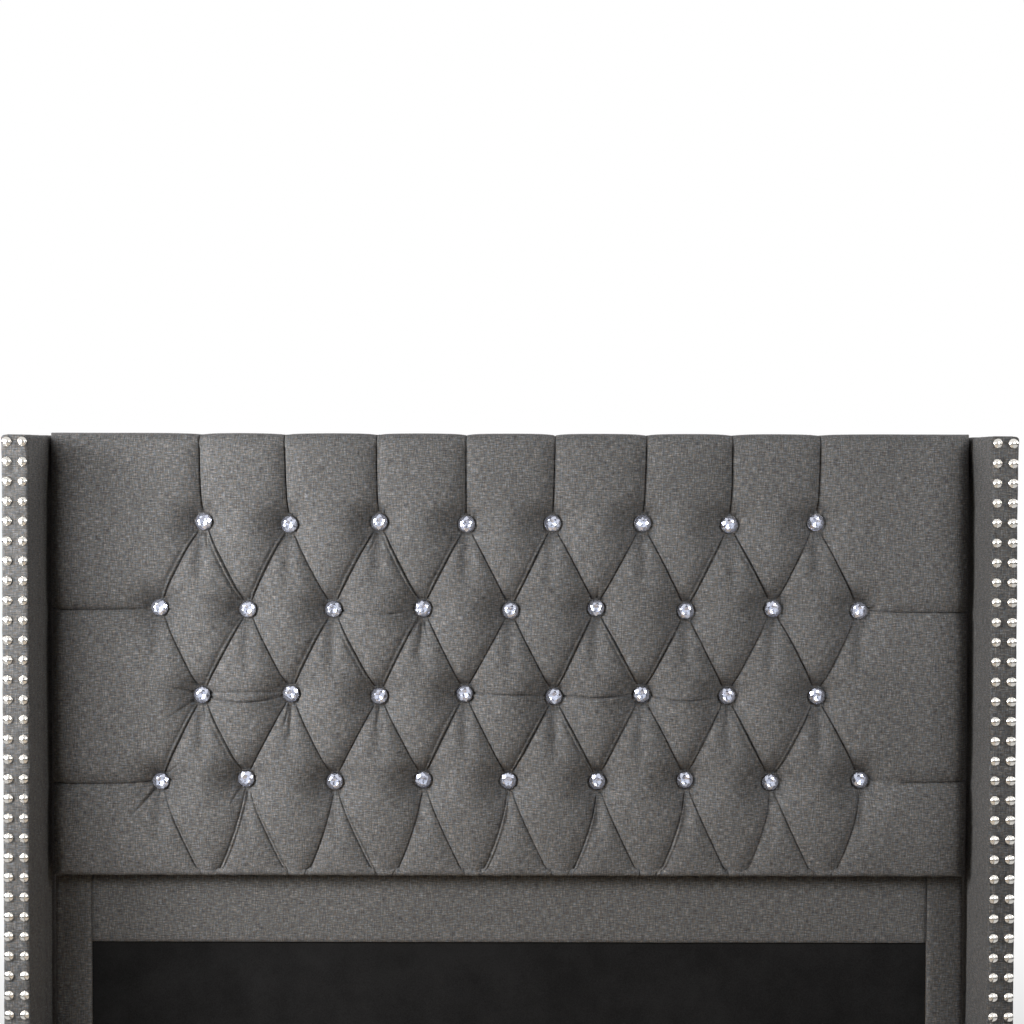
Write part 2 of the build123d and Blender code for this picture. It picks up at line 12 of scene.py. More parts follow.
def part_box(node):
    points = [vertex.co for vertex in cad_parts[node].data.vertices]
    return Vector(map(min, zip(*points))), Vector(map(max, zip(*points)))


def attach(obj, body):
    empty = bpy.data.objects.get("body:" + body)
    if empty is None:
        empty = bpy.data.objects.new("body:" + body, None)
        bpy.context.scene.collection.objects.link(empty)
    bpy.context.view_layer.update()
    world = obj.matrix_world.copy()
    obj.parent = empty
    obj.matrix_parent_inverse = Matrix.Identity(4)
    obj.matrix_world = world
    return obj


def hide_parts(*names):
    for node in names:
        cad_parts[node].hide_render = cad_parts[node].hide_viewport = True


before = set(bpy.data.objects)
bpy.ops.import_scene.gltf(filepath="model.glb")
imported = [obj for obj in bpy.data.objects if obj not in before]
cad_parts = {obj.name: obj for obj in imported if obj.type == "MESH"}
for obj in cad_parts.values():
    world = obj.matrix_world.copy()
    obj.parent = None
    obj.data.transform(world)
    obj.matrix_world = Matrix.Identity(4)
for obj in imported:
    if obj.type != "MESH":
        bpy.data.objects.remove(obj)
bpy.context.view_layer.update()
scene = bpy.context.scene
rng = np.random.default_rng(11)

BED = "bed"
SIDES = {"left": -1, "right": 1}

# ---- places from the frame ----
PAD_LOW, PAD_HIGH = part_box("tufted_cover")
WING_LOW, WING_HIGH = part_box("wing_cover_right")
TOP_Z = WING_HIGH.z


# ---- camera ----
def add_camera():
    """Level with the headboard's top, and a little over three metres in front of it."""
    data = bpy.data.cameras.new("camera")
    data.lens = 71.1
    data.sensor_width = 36
    camera = bpy.data.objects.new("camera", data)
    scene.collection.objects.link(camera)
    camera.location = (0.0037, WING_LOW.y - 3.411, TOP_Z - 0.035)
    pitch_down = math.radians(1.58)
    roll = math.radians(0.12)
    turned = Matrix.Rotation(math.pi / 2 - pitch_down, 3, "X") @ Matrix.Rotation(roll, 3, "Z")
    camera.rotation_euler = turned.to_euler()
    scene.camera = camera


add_camera()


# ---- helpers: nodes ----
def node(tree, kind, inputs=None, **settings):
    made = tree.nodes.new(kind)
    for key, value in settings.items():
        setattr(made, key, value)
    for key, value in (inputs or {}).items():
        if isinstance(value, bpy.types.NodeSocket):
            tree.links.new(value, made.inputs[key])
        else:
            made.inputs[key].default_value = value
    return made


def maths(tree, operation, a, b=0.0, c=0.0):
    return node(tree, "ShaderNodeMath", {0: a, 1: b, 2: c}, operation=operation).outputs[0]


def weighted(tree, *terms):
    """The sum of (value, weight) pairs."""
    total = 0.0
    for value, weight in terms:
        total = maths(tree, "MULTIPLY_ADD", value, weight, total)
    return total


def scaled(tree, vector, by):
    return node(tree, "ShaderNodeVectorMath", {0: vector, 1: by}, operation="MULTIPLY").outputs[0]


def noise_value(tree, vector, scale=1.0, detail=2.0, roughness=0.5, distortion=0.0):
    settings = {"Scale": scale, "Detail": detail, "Roughness": roughness, "Distortion": distortion}
    return node(tree, "ShaderNodeTexNoise", {"Vector": vector, **settings}).outputs["Fac"]


def ramp(tree, value, stops, interpolation="LINEAR"):
    """A colour ramp. Each stop is (position, grey or colour)."""
    made = node(tree, "ShaderNodeValToRGB", {"Fac": value})
    made.color_ramp.interpolation = interpolation
    elements = made.color_ramp.elements
    while len(elements) < len(stops):
        elements.new(0.5)
    for element, (position, colour) in zip(elements, stops):
        rgb = (colour,) * 3 if isinstance(colour, (int, float)) else colour
        element.position = position
        element.color = (*rgb, 1)
    return made.outputs["Color"]


def multiplied(tree, a, b):
    """The product of two colours. Sockets 0, 6 and 7 of a colour mix are its factor and its two colours."""
    made = node(tree, "ShaderNodeMix", {0: 1.0, 6: a, 7: b}, data_type="RGBA", blend_type="MULTIPLY")
    return made.outputs[2]


def new_material(name, **settings):
    """A material, its node tree, and its Principled shader with those settings."""
    made = bpy.data.materials.new(name)
    made.use_nodes = True
    tree = made.node_tree
    tree.nodes.clear()
    shader = node(tree, "ShaderNodeBsdfPrincipled")
    for key, value in settings.items():
        shader.inputs[key.replace("_", " ")].default_value = value
    node(tree, "ShaderNodeOutputMaterial", {"Surface": shader.outputs[0]})
    return made, tree, shader


def bump(tree, shader, height, strength, distance):
    made = node(tree, "ShaderNodeBump", {"Height": height, "Strength": strength, "Distance": distance})
    tree.links.new(made.outputs[0], shader.inputs["Normal"])


def object_coordinates(tree):
    return node(tree, "ShaderNodeTexCoord").outputs["Object"]


def cloth_coordinates(tree):
    """Metres across and up the flat cloth, as lay_weave sets them."""
    place = node(tree, "ShaderNodeUVMap", uv_map="cloth").outputs[0]
    parts = node(tree, "ShaderNodeSeparateXYZ", {0: place}).outputs
    return node(tree, "ShaderNodeCombineXYZ", {0: parts[0], 1: 0.0, 2: parts[1]}).outputs[0]


def lay_weave(mesh, across, up):
    """Lays cloth coordinates, in metres, on a mesh. across and up hold one value for each vertex."""
    loops = np.empty(len(mesh.loops), dtype=int)
    mesh.loops.foreach_get("vertex_index", loops)
    layer = mesh.uv_layers.new(name="cloth")
    layer.data.foreach_set("uv", np.column_stack([across, up])[loops].ravel())


def vertex_places(mesh):
    points = np.empty(len(mesh.vertices) * 3)
    mesh.vertices.foreach_get("co", points)
    return points.reshape(-1, 3)


def lay_weave_round(mesh):
    """Cloth coordinates that follow the axis that each face looks along."""
    normals = np.empty(len(mesh.polygons) * 3)
    mesh.polygons.foreach_get("normal", normals)
    loops = np.empty(len(mesh.loops), dtype=int)
    mesh.loops.foreach_get("vertex_index", loops)
    sizes = np.empty(len(mesh.polygons), dtype=int)
    mesh.polygons.foreach_get("loop_total", sizes)
    facing = np.repeat(np.abs(normals.reshape(-1, 3)).argmax(1), sizes)
    x, y, z = vertex_places(mesh)[loops].T
    layer = mesh.uv_layers.new(name="cloth")
    across = np.where(facing == 0, y, x)
    up = np.where(facing == 2, y, z)
    layer.data.foreach_set("uv", np.column_stack([across, up]).ravel())


# ---- materials ----
def heather(name, tone_and_painted_shade=1.0, fleck=1.0):
    """A linen-look weave, whose warp and weft mix dark, pale, warm and blue-grey threads."""
    made, tree, shader = new_material(
        name, Roughness=0.95, Specular_IOR_Level=0.12, Sheen_Weight=0.08, Sheen_Roughness=0.5
    )
    cloth = cloth_coordinates(tree)
    weft = noise_value(tree, scaled(tree, cloth, (74, 1, 520)), 1.0, 3.0, 0.72)
    warp = noise_value(tree, scaled(tree, cloth, (480, 1, 66)), 1.0, 3.0, 0.72)
    fibre = noise_value(tree, scaled(tree, cloth, (700, 1, 700)), 1.0, 2.0, 0.7)
    threads = weighted(tree, (weft, 0.46), (warp, 0.38), (fibre, 0.16))
    low, high = 0.5 - 0.12 / fleck, 0.5 + 0.12 / fleck
    # tone below 1 darkens every thread: painted shade for the darker copies of this linen.
    greys = [(low, 0.055 * tone_and_painted_shade), (0.48, 0.132 * tone_and_painted_shade), (0.53, 0.165 * tone_and_painted_shade), (high, 0.33 * tone_and_painted_shade)]
    grey = ramp(tree, threads, greys)
    hue = noise_value(tree, scaled(tree, cloth, (150, 1, 420)), 1.0, 2.0, 0.6)
    bluish, neutral, warm = (0.88, 0.97, 1.1), (1.0, 0.985, 0.965), (1.13, 0.98, 0.86)
    tint = ramp(tree, hue, [(0.36, bluish), (0.5, neutral), (0.64, warm)])
    broad = noise_value(tree, scaled(tree, cloth, (5, 1, 7)), 1.0, 2.0, 0.5)
    shade = ramp(tree, broad, [(0.3, 0.93), (0.7, 1.05)])
    colour = multiplied(tree, multiplied(tree, grey, tint), shade)
    tree.links.new(colour, shader.inputs["Base Color"])
    threading = {"Vector": cloth, "Scale": 290.0, "Distortion": 0.6}
    waves = [node(tree, "ShaderNodeTexWave", threading, bands_direction=way) for way in "XZ"]
    over_under = maths(tree, "MULTIPLY", waves[0].outputs["Fac"], waves[1].outputs["Fac"])
    bump(tree, shader, weighted(tree, (threads, 1.0), (over_under, 0.35)), 0.3, 0.0009)
    return made


def plain_cloth(name, colour, grain=520.0, relief=0.0005, spots=0.25):
    """A matt cloth with a fine speckle, for linings and bonded covers."""
    made, tree, shader = new_material(name, Roughness=0.95, Specular_IOR_Level=0.15, Sheen_Weight=0.05)
    cloth = object_coordinates(tree)
    speckle = noise_value(tree, cloth, grain, 3.0, 0.7)
    cloud = noise_value(tree, cloth, 14.0, 3.0, 0.6)
    value = weighted(tree, (speckle, 0.6), (cloud, 0.4))
    dark = tuple(c * (1 - spots) for c in colour)
    pale = tuple(min(1, c * (1 + spots * 1.6)) for c in colour)
    tree.links.new(ramp(tree, value, [(0.38, dark), (0.62, pale)]), shader.inputs["Base Color"])
    bump(tree, shader, value, 0.5, relief)
    return made


def wood(name, dark, pale, along="X", ring=26.0, roughness=0.6):
    """Planed timber, whose grain runs along one axis."""
    made, tree, shader = new_material(name, Roughness=roughness)
    drawn_out = tuple(0.054 if axis == along else 1.0 for axis in "XYZ")
    place = scaled(tree, object_coordinates(tree), drawn_out)
    bend = noise_value(tree, place, 9.0, 2.0, 0.5)
    rings = noise_value(tree, scaled(tree, place, (ring, ring, ring)), 3.4, 4.0, 0.62, 0.4)
    pores = noise_value(tree, scaled(tree, place, (ring, ring, ring)), 26.0, 2.0, 0.6)
    grain = weighted(tree, (rings, 0.7), (pores, 0.15), (bend, 0.15))
    middle = tuple((a + b) / 2 for a, b in zip(dark, pale))
    tint = ramp(tree, grain, [(0.34, dark), (0.5, middle), (0.64, pale)])
    tree.links.new(tint, shader.inputs["Base Color"])
    bump(tree, shader, grain, 0.35, 0.0006)
    return made


def metal(name, colour, roughness, wear=0.12):
    made, tree, shader = new_material(name, Metallic=1.0)
    place = object_coordinates(tree)
    patch = noise_value(tree, place, 60.0, 3.0, 0.6)
    spread = ramp(tree, patch, [(0.35, max(0.02, roughness - wear)), (0.7, roughness + wear)])
    tree.links.new(spread, shader.inputs["Roughness"])
    pale = tuple(min(1, c * 1.06) for c in colour)
    dark = tuple(c * 0.9 for c in colour)
    tree.links.new(ramp(tree, patch, [(0.3, dark), (0.7, pale)]), shader.inputs["Base Color"])
    bump(tree, shader, noise_value(tree, place, 900.0, 2.0), 0.3, 0.00006)
    return made


def coated(name, colour, roughness):
    """Painted steel or moulded plastic."""
    made, tree, shader = new_material(name)
    place = object_coordinates(tree)
    patch = noise_value(tree, place, 35.0, 3.0, 0.6)
    worn = ramp(tree, patch, [(0.35, roughness - 0.08), (0.65, roughness + 0.1)])
    tree.links.new(worn, shader.inputs["Roughness"])
    dark = tuple(c * 0.8 for c in colour)
    pale = tuple(min(1, c * 1.35 + 0.004) for c in colour)
    tree.links.new(ramp(tree, patch, [(0.3, dark), (0.7, pale)]), shader.inputs["Base Color"])
    bump(tree, shader, noise_value(tree, place, 700.0, 2.0), 0.35, 0.00012)
    return made


LINEN = heather("grey_linen", fleck=1.2)
# A darker copy of the same linen for the flat panels, side rails and footboard: painted shade.
LINEN_FLAT_PAINTED_SHADE = heather("grey_linen_flat_painted_shade", tone_and_painted_shade=0.9, fleck=1.1)
# A darker copy of the same linen for the wings: painted shade.
LINEN_WING_PAINTED_SHADE = heather("grey_linen_wing_painted_shade", tone_and_painted_shade=0.81, fleck=1.2)
BLACK_LINING = plain_cloth("black_lining", (0.0095, 0.0095, 0.0098), spots=0.4)
DUST_COVER = plain_cloth("dust_cover", (0.012, 0.012, 0.013), grain=900.0, spots=0.5)
WEBBING = plain_cloth("webbing", (0.02, 0.02, 0.022), grain=420.0, relief=0.0009, spots=0.5)
TWINE = plain_cloth("twine", (0.6, 0.55, 0.42), grain=900.0)
PINE = ((0.42, 0.25, 0.11), (0.68, 0.47, 0.26))
PINE_X = wood("pine_across", *PINE, "X")
PINE_Y = wood("pine_lengthways", *PINE, "Y")
PINE_Z = wood("pine_upright", *PINE, "Z")
SLAT_WOOD = wood("slat_pine", (0.5, 0.37, 0.23), (0.74, 0.6, 0.43), "X", roughness=0.55)
PLYWOOD = wood("plywood", (0.46, 0.29, 0.15), (0.66, 0.48, 0.28), "X", ring=16.0)
BLACK_WOOD = wood("black_stain", (0.006, 0.005, 0.005), (0.022, 0.018, 0.016), "Z", roughness=0.35)
NICKEL = metal("polished_nickel", (0.86, 0.83, 0.78), 0.12, wear=0.05)
SETTING = metal("setting_metal", (0.35, 0.35, 0.37), 0.22)
ZINC = metal("zinc_plate", (0.66, 0.68, 0.70), 0.34)
BLACK_STEEL = coated("black_steel", (0.02, 0.02, 0.02), 0.4)
BLACK_PLASTIC = coated("black_plastic", (0.018, 0.018, 0.018), 0.55)


def crystal_materials():
    mirror, _, shader = new_material(
        "crystal_facets", Metallic=0.75, Roughness=0.07, Coat_Weight=1.0, Coat_Roughness=0.02
    )
    shader.inputs["Base Color"].default_value = (0.66, 0.69, 0.82, 1)
    clear, _, shader = new_material("crystal_table", Roughness=0.01, Transmission_Weight=1.0, IOR=1.5)
    shader.inputs["Base Color"].default_value = (0.95, 0.97, 1.0, 1)
    return mirror, clear


CRYSTAL_FACETS, CRYSTAL_TABLE = crystal_materials()


# ---- helpers: meshes ----
def add_object(name, vertices, faces, *materials, smooth=True):
    mesh = bpy.data.meshes.new(name)
    mesh.from_pydata([tuple(v) for v in vertices], [], faces)
    mesh.validate()
    made = bpy.data.objects.new(name, mesh)
    scene.collection.objects.link(made)
    for material in materials:
        mesh.materials.append(material)
    if smooth:
        mesh.shade_smooth()
    else:
        mesh.shade_flat()
    return made


def adopt(piece, slot, *nodes, fill=None):
    """The piece rides on the bed and stands for CAD nodes. slot is not used."""
    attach(piece, BED)
    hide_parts(*nodes)


def node_points(name):
    return vertex_places(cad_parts[name].data)


def clusters(points, reach):
    """The centres of separate small things that share one node, in the plane of X and Z."""
    left = points[:, (0, 2)]
    centres = []
    while len(left):
        near = np.hypot(*(left - left[0]).T) < reach
        group = left[near]
        centres.append((group.max(0) + group.min(0)) / 2)
        left = left[~near]
    return np.array(centres)


def eased(share):
    """0 to 1, with a level start and end."""
    share = np.clip(share, 0, 1)
    return share**2 * (3 - 2 * share)


def smooth_noise(points, scale, seed=0.0):
    """Perlin noise at each point, about -1 to 1."""
    shift = Vector((seed * 7.3, seed * 3.1, seed * 5.7))
    return np.array([noise.noise(Vector(p) * scale + shift) for p in points])


# ---- the tufted pad ----
BUTTONS = clusters(node_points("button_settings"), 0.045)
LEVELS = np.round(BUTTONS[:, 1] / 0.05)  # the same for every button of a row
BUTTONS = BUTTONS[np.lexsort((BUTTONS[:, 0], -LEVELS))]
LEVELS = np.sort(LEVELS)[::-1]
ROWS = [BUTTONS[LEVELS == level] for level in sorted(set(LEVELS), reverse=True)]
PITCH_X = np.mean([np.diff(row[:, 0]).mean() for row in ROWS])
PITCH_Z = -np.diff([row[:, 1].mean() for row in ROWS]).mean()
HALF_X = PITCH_X / 2
ROW2_Z = ROWS[1][:, 1].mean()
ROW4_Z = ROWS[3][:, 1].mean()
BUTTON_R = 0.0155
GEM_DEPTH = 0.0101  # from the front of a crystal to the floor of its pocket

FRONT_Y = PAD_LOW.y
FLOOR_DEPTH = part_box("button_crystals")[0].y + GEM_DEPTH - FRONT_Y
EDGE_R = 0.026  # how softly the pad's edges roll back
BACK_R = 0.004  # of the turn over the back of the pad's top
FOOT_R = 0.011  # the lower edge turns in more sharply, to its seam
DIVISIONS = 34  # of the mesh between two buttons
CROWDING = 0.77  # how much finer the mesh is along the pleats
FOOT_STRETCH = 1.4  # the pleats under the last row run down more steeply
WALL = 0.024  # of the cloth that runs back beside and under the pad


def lattice_places():
    """Flat cloth coordinates of a mesh whose lines follow the pleats, which run between the buttons."""
    unit = np.arange(DIVISIONS) / DIVISIONS
    crowded = unit - CROWDING * np.sin(2 * math.pi * unit) / (2 * math.pi)
    cells = np.arange(-9, 9)
    line = np.concatenate([cell + crowded for cell in cells])
    u, v = np.meshgrid(line, line, indexing="ij")
    return HALF_X * (u + v), u - v


def foot_reach(t, side):
    """How far a pleat below the last row has moved off its button's column, as a share of half the pitch. The
    left ones start almost upright, and none crosses the middle between two buttons."""
    left, right = 0.92 * t**1.6, 1.25 * t**1.12
    return np.minimum(np.where(side < 0, left, right), 0.985)


def settle_foot(x, level):
    """Below the last row, pleats leave each button steeply and then spread. level is rows below that one."""
    column = np.round(x / PITCH_X) * PITCH_X
    offset = (x - column) / HALF_X
    t = np.clip(level, 1e-6, 0.999)
    reach = foot_reach(t, offset)
    inside = offset * reach / t
    outside = np.sign(offset) * (1 - (1 - np.abs(offset)) * (1 - reach) / (1 - t))
    moved = np.where(np.abs(offset) < t, inside, outside)
    return np.where((level > 0) & (level < 1), column + moved * HALF_X, x)


def nominal_buttons():
    """Where the buttons would be on an exact grid."""
    places = []
    for index, row in enumerate(ROWS):
        z = ROW2_Z + (1 - index) * PITCH_Z
        places += [((place - (len(row) - 1) / 2) * PITCH_X, z) for place in range(len(row))]
    return places


def hand_set(x, z):
    """Moves the cloth with each button that was set a little off the grid."""
    shift_x, shift_z = np.zeros_like(x), np.zeros_like(z)
    actual = np.concatenate(ROWS)
    for (nx, nz), (bx, bz) in zip(nominal_buttons(), actual):
        weight = np.exp(-((x - nx) ** 2 + (z - nz) ** 2) / (2 * 0.05**2))
        shift_x += weight * (bx - nx)
        shift_z += weight * (bz - nz)
    return x + shift_x, z + shift_z


def lattice_mesh():
    """(cloth coordinates, triangles) of the whole cover, laid flat."""
    x, level = lattice_places()
    below = -2 - level
    z = ROW2_Z + PITCH_Z * level
    z = np.where(below > 0, ROW4_Z - PITCH_Z * FOOT_STRETCH * below, z)
    x = settle_foot(x, below)
    x, z = hand_set(x, z)
    low = (-CLOTH_X - 0.01, CLOTH_BOTTOM - 0.012)
    high = (CLOTH_X + 0.01, CLOTH_TOP + 0.012)
    inside = (x > low[0]) & (x < high[0]) & (z > low[1]) & (z < high[1])
    index = np.full(x.shape, -1)
    index[inside] = np.arange(inside.sum())
    corners = [index[:-1, :-1], index[1:, :-1], index[1:, 1:], index[:-1, 1:]]
    whole = np.all([c >= 0 for c in corners], axis=0)
    a, b, c, d = (corner[whole] for corner in corners)
    cloth = np.column_stack([x[inside], z[inside]])
    one_way, other_way = (np.linalg.norm(cloth[p] - cloth[q], axis=1) for p, q in ((b, d), (a, c)))
    above_buttons = level[inside][a] > 0.98
    split = np.where(
        ((one_way <= other_way + 1e-9) | above_buttons)[:, None],
        np.column_stack([a, b, d, b, c, d]),
        np.column_stack([a, b, c, a, c, d]),
    )
    return cloth, split.reshape(-1, 3)


# Where the flat cloth ends, and where its edges finish their turns
PAD_X = PAD_HIGH.x
ARC = EDGE_R * math.pi / 2
SIDE_END = PAD_X - EDGE_R + ARC
TOP_END = PAD_HIGH.z - EDGE_R + ARC
FOOT_END = PAD_LOW.z + FOOT_R - FOOT_R * math.pi / 2
TOP_FLAT = PAD_HIGH.y - FRONT_Y - EDGE_R - BACK_R
BACK_DROP = 0.034  # how far the cloth hangs down behind
CLOTH_X = SIDE_END + WALL
CLOTH_TOP = TOP_END + TOP_FLAT + BACK_R * math.pi / 2 + BACK_DROP
CLOTH_BOTTOM = FOOT_END - WALL


def rolled(beyond, radius, wall):
    """How cloth goes round an edge, by how far it is beyond the start of the curve: (outward, backward, and
    the normal's outward and forward parts)."""
    angle = np.clip(beyond / radius, 0, math.pi / 2)
    past = np.clip(beyond - radius * math.pi / 2, 0, wall)
    return radius * np.sin(angle), radius * (1 - np.cos(angle)) + past, np.sin(angle), np.cos(angle)


def wrap(x, z, depth):
    """Places flat cloth on the pad, pressed in by depth."""
    beyond_x = np.abs(x) - (PAD_X - EDGE_R)
    beyond_top = z - (PAD_HIGH.z - EDGE_R)
    beyond_foot = (PAD_LOW.z + FOOT_R) - z
    out_x, back_x, nx, fx = rolled(beyond_x, EDGE_R, WALL)
    out_t, back_t, nt, ft = rolled(beyond_top, EDGE_R, TOP_FLAT)
    out_f, back_f, nf, ff = rolled(beyond_foot, FOOT_R, WALL)
    px = np.where(beyond_x > 0, np.sign(x) * (PAD_X - EDGE_R + out_x), x)
    pz = np.where(beyond_top > 0, PAD_HIGH.z - EDGE_R + out_t, z)
    pz = np.where(beyond_foot > 0, PAD_LOW.z + FOOT_R - out_f, pz)
    normal = np.column_stack([np.sign(x) * nx, -fx * ft * ff, nt - nf])
    back = np.maximum(back_x, np.maximum(back_t, back_f))
    over = beyond_top - ARC - TOP_FLAT
    turn = np.clip(over / BACK_R, 0, math.pi / 2)
    drop = np.clip(over - BACK_R * math.pi / 2, 0, None)
    back = back + np.where(over > 0, BACK_R * np.sin(turn), 0)
    pz = pz - np.where(over > 0, BACK_R * (1 - np.cos(turn)) + drop, 0)
    normal[:, 2] = np.where(over > 0, np.cos(turn), normal[:, 2])
    normal[:, 1] = np.where(over > 0, np.sin(turn), normal[:, 1])
    normal /= np.maximum(np.linalg.norm(normal, axis=1, keepdims=True), 1e-9)
    base = np.column_stack([px, FRONT_Y + back, pz])
    return base - normal * depth[:, None]


FOOT_DROP = PITCH_Z * FOOT_STRETCH
PLEAT_REACH = 0.017  # how far a pleat draws the cloth beside it in


class Crease:
    """A pleat or wrinkle along a bowed line on the flat cloth."""

    def __init__(self, start, end, bow=0.0, depth=1.0, width=1.0, lip=0.0, fade=(0, 0), reach=PLEAT_REACH):
        self.start, self.end = np.array(start, float), np.array(end, float)
        self.bow, self.depth, self.width = bow, depth, width
        self.lip, self.fade, self.reach = lip, fade, reach
        self.length = np.linalg.norm(self.end - self.start)
        self.along = (self.end - self.start) / self.length
        self.across = np.array([self.along[1], -self.along[0]])

    def coordinates(self, x, z):
        """(share of the way along, signed distance to the line, distance to the fold)"""
        dx, dz = x - self.start[0], z - self.start[1]
        t = (dx * self.along[0] + dz * self.along[1]) / self.length
        side = dx * self.across[0] + dz * self.across[1]
        inside = np.clip(t, 0, 1)
        side = side - self.bow * 4 * inside * (1 - inside)
        beyond = (t - inside) * self.length
        return inside, side, np.hypot(side, beyond)

    def strength(self, t):
        rise = np.clip(t / self.fade[0], 0, 1) if self.fade[0] else 1.0
        fall = np.clip((1 - t) / self.fade[1], 0, 1) if self.fade[1] else 1.0
        return rise * fall


class FootPleat(Crease):
    """A pleat from a button of the last row down to the seam under the pad."""

    def __init__(self, start, sign, **settings):
        super().__init__(start, (start[0] + sign * HALF_X, start[1] - FOOT_DROP), **settings)
        self.sign = sign

    def coordinates(self, x, z):
        t = (self.start[1] - z) / FOOT_DROP
        inside = np.clip(t, 0, 1)
        line = self.start[0] + self.sign * HALF_X * foot_reach(np.maximum(inside, 1e-6), self.sign)
        side = (x - line) * 0.9
        return inside, side, np.hypot(side, (t - inside) * FOOT_DROP)


def pleats():
    """The folds between buttons, and from the outer buttons to the pad's edges."""
    made = []
    for upper in range(3):
        for place, (bx, bz) in enumerate(ROWS[upper]):
            for lx, lz in ROWS[upper + 1]:
                if abs(abs(bx - lx) - HALF_X) > HALF_X * 0.3:
                    continue
                leans_left = lx < bx
                double = leans_left and rng.random() < 0.7 or rng.random() < 0.15
                bow = rng.normal(0.0012 if leans_left else -0.0006, 0.0010)
                lip = rng.uniform(0.6, 1.0) if double else 0.0
                made.append(Crease((bx, bz), (lx, lz), bow=bow, lip=lip))
    for place, (bx, bz) in enumerate(ROWS[0]):
        bend = 0.0062 * (2 * place / (len(ROWS[0]) - 1) - 1) + rng.normal(0, 0.0015)
        end = (bx + rng.normal(0.001, 0.0025), CLOTH_TOP)
        made.append(Crease((bx, bz), end, bow=bend, depth=1.25, lip=0.3 * (place < 3), reach=0.022))
    for row in (1, 3):
        for sign in (-1, 1):
            bx, bz = ROWS[row][0 if sign < 0 else -1]
            end = (sign * CLOTH_X, bz + rng.normal(0.001, 0.002))
            made.append(Crease((bx, bz), end, bow=sign * 0.0022, depth=0.85, reach=0.012))
    for place, (bx, bz) in enumerate(ROWS[3]):
        for sign in (-1, 1):
            outer = place == (0 if sign < 0 else len(ROWS[3]) - 1)
            double = rng.random() < 0.4
            if not outer:
                made.append(FootPleat((bx, bz), sign, depth=0.72, lip=0.5 * double))
    return made


PLEATS = pleats()
STEP = 0.002  # of the grid on which the pad's broad shape is worked out
FUNNEL_SINK = 0.032  # how deep a button draws the pad in, over a wide hollow
RIM_SINK = 0.0065  # and how much more close to its rim
RIM_REACH = 0.011  # how fast that dies away
CLOTH_AT_BUTTON = FUNNEL_SINK + RIM_SINK
WELL = FLOOR_DEPTH - CLOTH_AT_BUTTON  # how much deeper the cloth goes under a button
FUNNEL_X, FUNNEL_UP, FUNNEL_DOWN = 0.082, 0.074, 0.098  # how far a button draws the pad in
FUNNEL_POWER = 1.95
PLEAT_SINK = 0.0115  # depth of a pleat's valley midway
PULL_SINK, PULL_LENGTH, PULL_REACH = 0.029, 0.118, 0.0155  # of the soft valley that hangs below a button
CROWN_SAG = 3.0  # how gently the separate hollows run together
LUMPS = 0.0018  # unevenness of the padding
GROOVE_DEPTH, GROOVE_WIDTH = 0.0075, 0.00085  # of the sharp line of a pleat
DIP_DEPTH, DIP_REACH = 0.0022, 0.007  # of the cloth beside that line
LIP_WIDTH = 0.0060  # of a doubled pleat's lip, between the pleat and its second line
LIP_RISE, LIP_SPREAD = 0.0030, 0.0017
SECOND_DEPTH, SECOND_WIDTH = 0.0048, 0.0011
WELL_EDGE = 0.0004  # how sharply the cloth drops at a button's rim
GATHER_DEPTH = 0.0010
FOLD_DEPTH, FOLD_WIDTH = 0.0056, 0.0016
FOOT_SINK, FOOT_SINK_REACH = 0.007, 0.1  # how the pad thins towards its lower edge


def pleat_sink(crease, t):
    """How deep a pleat lies, deeper towards the buttons."""
    end_x, end_z = crease.end
    at_button = abs(end_x) < PAD_X - 0.01 and PAD_LOW.z < end_z < ROWS[0][:, 1].max() + 0.05
    to_end = (np.minimum(t, 1 - t) if at_button else t) * crease.length
    near = np.exp(-np.maximum(to_end - BUTTON_R, 0) / 0.02)
    return (PLEAT_SINK * crease.depth + 0.012 * near) * crease.strength(t)


def softened(distance, radius=0.002):
    """A distance whose point at 0 is rounded off."""
    return np.sqrt(distance**2 + radius**2) - radius


